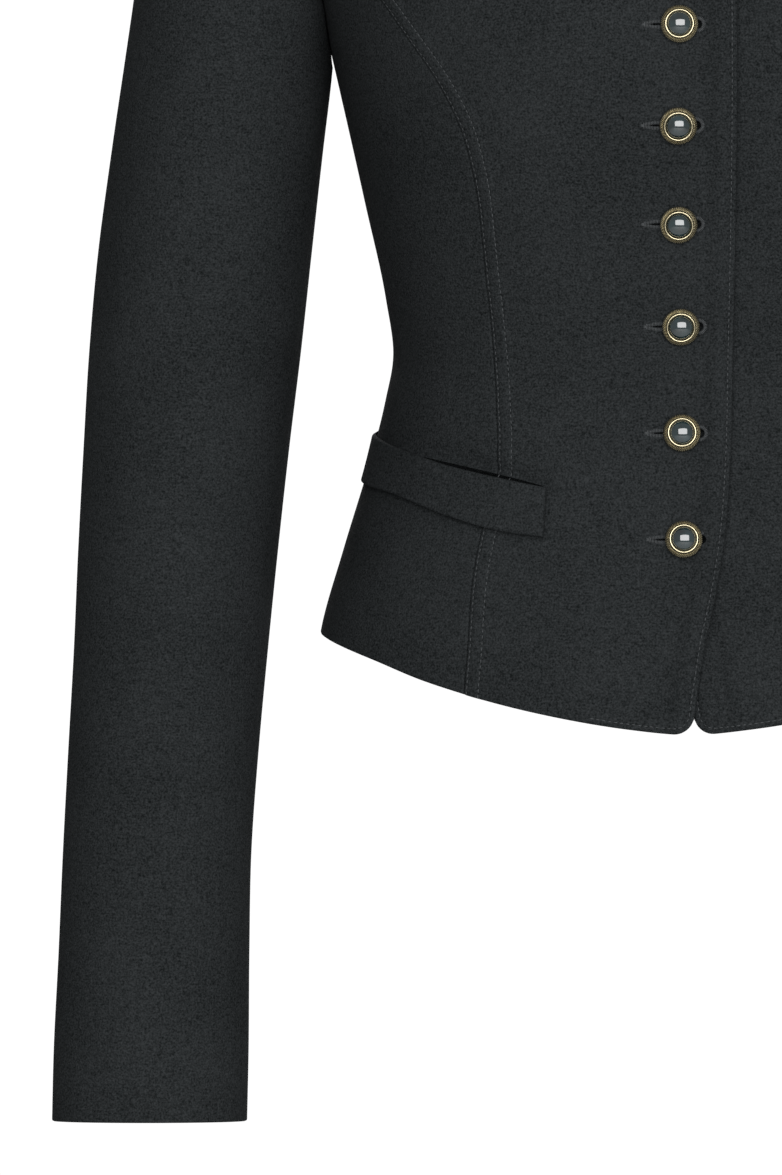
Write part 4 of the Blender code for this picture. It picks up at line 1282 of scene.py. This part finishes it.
def purl_outline():
    """Spots round a buttonhole and the ways that its binding threads lie, in its own plane."""
    straight = np.arange(SLIT_START - PURL_BEFORE, EYELET_CENTRE - PURL_EYE, PURL_PITCH)
    drawn = eased((straight - SLIT_START) / PURL_TAPER)
    apart = PURL_OUT * (PURL_DRAWN + (1 - PURL_DRAWN) * drawn)
    spots = [(x, side * out) for side in (1, -1) for x, out in zip(straight, apart)]
    ways = [(0.0, 1.0)] * len(spots)
    for turn in np.linspace(-PURL_EYE_TURN, PURL_EYE_TURN, PURL_EYE_COUNT):
        spots.append((EYELET_CENTRE + PURL_EYE * math.cos(turn), PURL_EYE * math.sin(turn)))
        ways.append((math.cos(turn), math.sin(turn)))
    for side in (-0.5, 0.0, 0.5):
        spots.append((SLIT_START - PURL_BAR[0], side * PURL_OUT * PURL_BAR[1]))
        ways.append((1.0, 0.0))
    return np.array(spots), np.array(ways)


flat_spots, flat_ways = purl_outline()
spots, ways, tilts = [], [], []
for height, distance in BUTTONS:
    cut(front_right, hole_prism(height, distance))
    x = distance - flat_spots[:, 0]
    z = height + flat_spots[:, 1]
    down = drop_of(x, z)
    here = body_by_drop(x, down, False) * (-1, 1, 1)
    tilt = normals_by_drop(x, down, False) * (-1, 1, 1)
    way = np.stack([flat_ways[:, 0], 0 * x, flat_ways[:, 1]], axis=-1)
    way -= tilt * (way * tilt).sum(axis=1, keepdims=True)
    spots.append(here + tilt * PURL_LIFT)
    ways.append(unit(way))
    tilts.append(tilt)
bound = [np.concatenate(part) for part in (spots, ways, tilts)]
stitches("buttonhole_stitches", *bound, PURL_LENGTH, PURL_RADIUS)

# Buttons
# Turned brass rims with a polished inner ring, a rope-marked antique band and a shank; a glossy
# dark dome is pressed into each. They are sewn through their shanks to the left front.

RIM = (
    # radius, height above the rim's back, rope marks, patina
    (0.00505, 0.00110, 0.0, 1.0),
    (0.00528, 0.00110, 0.0, 1.0),
    (0.00534, 0.00180, 0.0, 0.9),
    (0.00540, 0.00240, 0.0, 0.1),
    (0.00549, 0.00258, 0.0, 0.0),
    (0.00566, 0.00264, 0.0, 0.0),
    (0.00582, 0.00260, 0.0, 0.0),
    (0.00594, 0.00240, 0.0, 0.1),
    (0.00602, 0.00190, 0.0, 0.8),
    (0.00612, 0.00172, 0.3, 0.8),
    (0.00640, 0.00176, 1.0, 0.6),
    (0.00680, 0.00170, 1.0, 0.6),
    (0.00718, 0.00152, 1.0, 0.6),
    (0.00746, 0.00126, 1.0, 0.5),
    (0.00766, 0.00098, 1.0, 0.4),
    (0.00778, 0.00064, 0.8, 0.6),
    (0.00770, 0.00026, 0.3, 0.8),
    (0.00700, 0.00000, 0.0, 0.8),
    (0.00140, 0.00000, 0.0, 0.8),
)
BUTTON_SEAT = 0.0011  # the rim's back above the cloth
SHANK_GAP = 0.0008  # between the shank's end and the lower layer
CAP_RADIUS = 0.0050
CAP_SEAT = 0.0013  # the dome's flat back above the rim's back
CAP_HEIGHT = 0.0036
CAP_WALL = 0.0004  # upright edge beneath the dome
SHANK_RADIUS = 0.0014
SHANK_PATINA = 0.8
ROPE = (0.0060, 0.0078)  # the rope band's inner and outer radius
MARKS = 60
MARK_DEPTH = 0.00050
MARK_SLANT = 1.3  # how many marks a groove crosses from ring to edge
STEPS_A_MARK = 5
DOME_STEPS = 48
BRASS = (0.80, 0.71, 0.47)
BRASS_DARK = (0.085, 0.076, 0.048)
TARNISH_SIZE = 700
AGE_WEIGHTS = (0.85, 0.35)  # patina, tarnish
AGE_RANGE = (0.15, 0.85)
BRASS_ROUGHNESS = (0.20, 0.50)  # polished, aged
GROOVE_PATINA = 0.8
PEARL = (0.004, 0.011, 0.012)
PEARL_LIGHT = (0.010, 0.027, 0.030)
CLOUD_SIZE = 260
CLOUD_RANGE = (0.35, 0.7)
POLE = 0.04  # angle from the dome's pole to its first ring
DOME_RINGS = 13

brass, tree, sockets = material("antique_brass", {"Metallic": 1.0})
patina = shader_node(tree, "ShaderNodeAttribute", attribute_name="patina").outputs["Fac"]
tarnish = noise(tree, object_place(tree), TARNISH_SIZE, 3)
aged = weighted(tree, (patina, tarnish), AGE_WEIGHTS)
tree.links.new(ramp(tree, aged, AGE_RANGE, (BRASS, BRASS_DARK)), sockets["Base Color"])
rough = shader_node(tree, "ShaderNodeMapRange")
rough.inputs["To Min"].default_value, rough.inputs["To Max"].default_value = BRASS_ROUGHNESS
tree.links.new(aged, rough.inputs["Value"])
tree.links.new(rough.outputs["Result"], sockets["Roughness"])

pearl, tree, sockets = material(
    "dark_pearl", {"Roughness": 0.08, "IOR": 2.0, "Coat Weight": 0.3, "Coat Roughness": 0.03}
)
cloudy = noise(tree, object_place(tree), CLOUD_SIZE, 2)
tree.links.new(ramp(tree, cloudy, CLOUD_RANGE, (PEARL, PEARL_LIGHT)), sockets["Base Color"])


def turned(name, profile, steps, place, finish):
    """A turned piece: a profile of radius, height and rope marks, taken round in steps."""
    around = np.arange(steps) / steps * 2 * math.pi
    rows, aged_by = [], []
    for radius, height, marks, old in profile:
        slant = (radius - ROPE[0]) / (ROPE[1] - ROPE[0]) * MARK_SLANT
        wave = 0.5 + 0.5 * np.cos(MARKS * around + 2 * math.pi * slant)
        sunk = marks * MARK_DEPTH * wave
        rows.append(
            np.stack([radius * np.cos(around), radius * np.sin(around), height - sunk], axis=-1)
        )
        aged_by.append(np.clip(old + marks * GROOVE_PATINA * (wave - 0.5), 0, 1))
    points = np.array(rows)
    levels = len(profile)
    at = np.arange(levels * steps).reshape(levels, steps)
    ahead = np.roll(at, -1, axis=1)
    faces = np.stack([at[:-1], at[1:], ahead[1:], ahead[:-1]], axis=-1).reshape(-1, 4).tolist()
    flat = points.reshape(-1, 3) @ np.array(place.to_3x3()).T + np.array(place.translation)
    piece = finished(name, flat, faces + [at[0].tolist(), at[-1][::-1].tolist()], finish)
    age = piece.data.attributes.new("patina", "FLOAT", "POINT")
    age.data.foreach_set("value", np.array(aged_by).ravel())
    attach(piece, "root")
    return piece


shank_end = -(BUTTON_SEAT + WALL + LAYER_GAP - SHANK_GAP)
rim_profile = RIM + ((SHANK_RADIUS, shank_end, 0.0, SHANK_PATINA),)
dome = [
    (CAP_RADIUS * math.sin(turn), CAP_SEAT + CAP_WALL + CAP_HEIGHT * math.cos(turn), 0, 0)
    for turn in np.linspace(POLE, math.pi / 2, DOME_RINGS)
]
dome.append((CAP_RADIUS, CAP_SEAT, 0, 0))
for number, (height, distance) in enumerate(BUTTONS, 1):
    spot = button_place(height, distance) @ Matrix.Translation((0, 0, BUTTON_SEAT))
    rim = turned(f"brass_rim_{number}", rim_profile, MARKS * STEPS_A_MARK, spot, brass)
    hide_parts(f"button_rim_{number}")
    cap = turned(f"pearl_dome_{number}", dome, DOME_STEPS, spot, pearl)
    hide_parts(f"button_cap_{number}")

# Room, light and camera
# A pale floor at standing height below the shoulders, a large softbox in front and above, a
# smaller one behind, and a room that is white to the camera but gives little light itself.

FLOOR_Z = -1.40
FLOOR_HALF = 3.0
SOFTBOXES = (
    # name, place, aim, size, watts
    ("softbox_front", (0.25, -2.9, 0.25), (-0.05, 0.0, -0.40), (3.6, 2.2), 118),
    ("softbox_rear", (0.30, 3.6, 1.35), (0.0, 0.0, -0.30), (2.4, 2.0), 105),
)
ROOM_LIGHT = 0.30
ROOM_WHITE = 1.05  # what the camera sees of the room
FLOOR_GREY = 0.55
CAMERA_PLACE = (-0.1238, -3.4, -0.490)
FRAME_HEIGHT = 0.50525  # what the frame takes in at the body's middle plane
SENSOR = 24.0

mesh = bpy.data.meshes.new("floor")
bm = bmesh.new()
bmesh.ops.create_grid(bm, x_segments=1, y_segments=1, size=FLOOR_HALF)
bmesh.ops.translate(bm, verts=bm.verts, vec=(0, 0, FLOOR_Z))
bm.to_mesh(mesh)
bm.free()
pale = {"Base Color": (FLOOR_GREY, FLOOR_GREY, FLOOR_GREY, 1), "Roughness": 0.9}
mesh.materials.append(material("pale_floor", pale)[0])
linked("floor", mesh)

world = bpy.data.worlds.new("room")
bpy.context.scene.world = world
world.use_nodes = True
tree = world.node_tree
level = shader_node(tree, "ShaderNodeMapRange")
level.inputs["To Min"].default_value = ROOM_LIGHT
level.inputs["To Max"].default_value = ROOM_WHITE
seen = shader_node(tree, "ShaderNodeLightPath").outputs["Is Camera Ray"]
tree.links.new(seen, level.inputs["Value"])
tree.links.new(level.outputs["Result"], tree.nodes["Background"].inputs["Strength"])
tree.nodes["Background"].inputs["Color"].default_value = (1, 1, 1, 1)
bpy.context.scene.view_settings.view_transform = "Standard"

for name, spot, aim, size, watts in SOFTBOXES:
    light = bpy.data.lights.new(name, "AREA")
    light.shape = "RECTANGLE"
    light.size, light.size_y = size
    light.energy = watts
    softbox = linked(name, light)
    softbox.location = spot
    softbox.rotation_euler = (Vector(aim) - Vector(spot)).to_track_quat("-Z", "Y").to_euler()

camera_data = bpy.data.cameras.new("camera")
camera_data.sensor_fit = "VERTICAL"
camera_data.sensor_height = SENSOR
camera_data.lens = SENSOR * -CAMERA_PLACE[1] / FRAME_HEIGHT
camera = linked("camera", camera_data)
camera.location = CAMERA_PLACE
camera.rotation_euler = (math.pi / 2, 0, 0)
bpy.context.scene.camera = camera
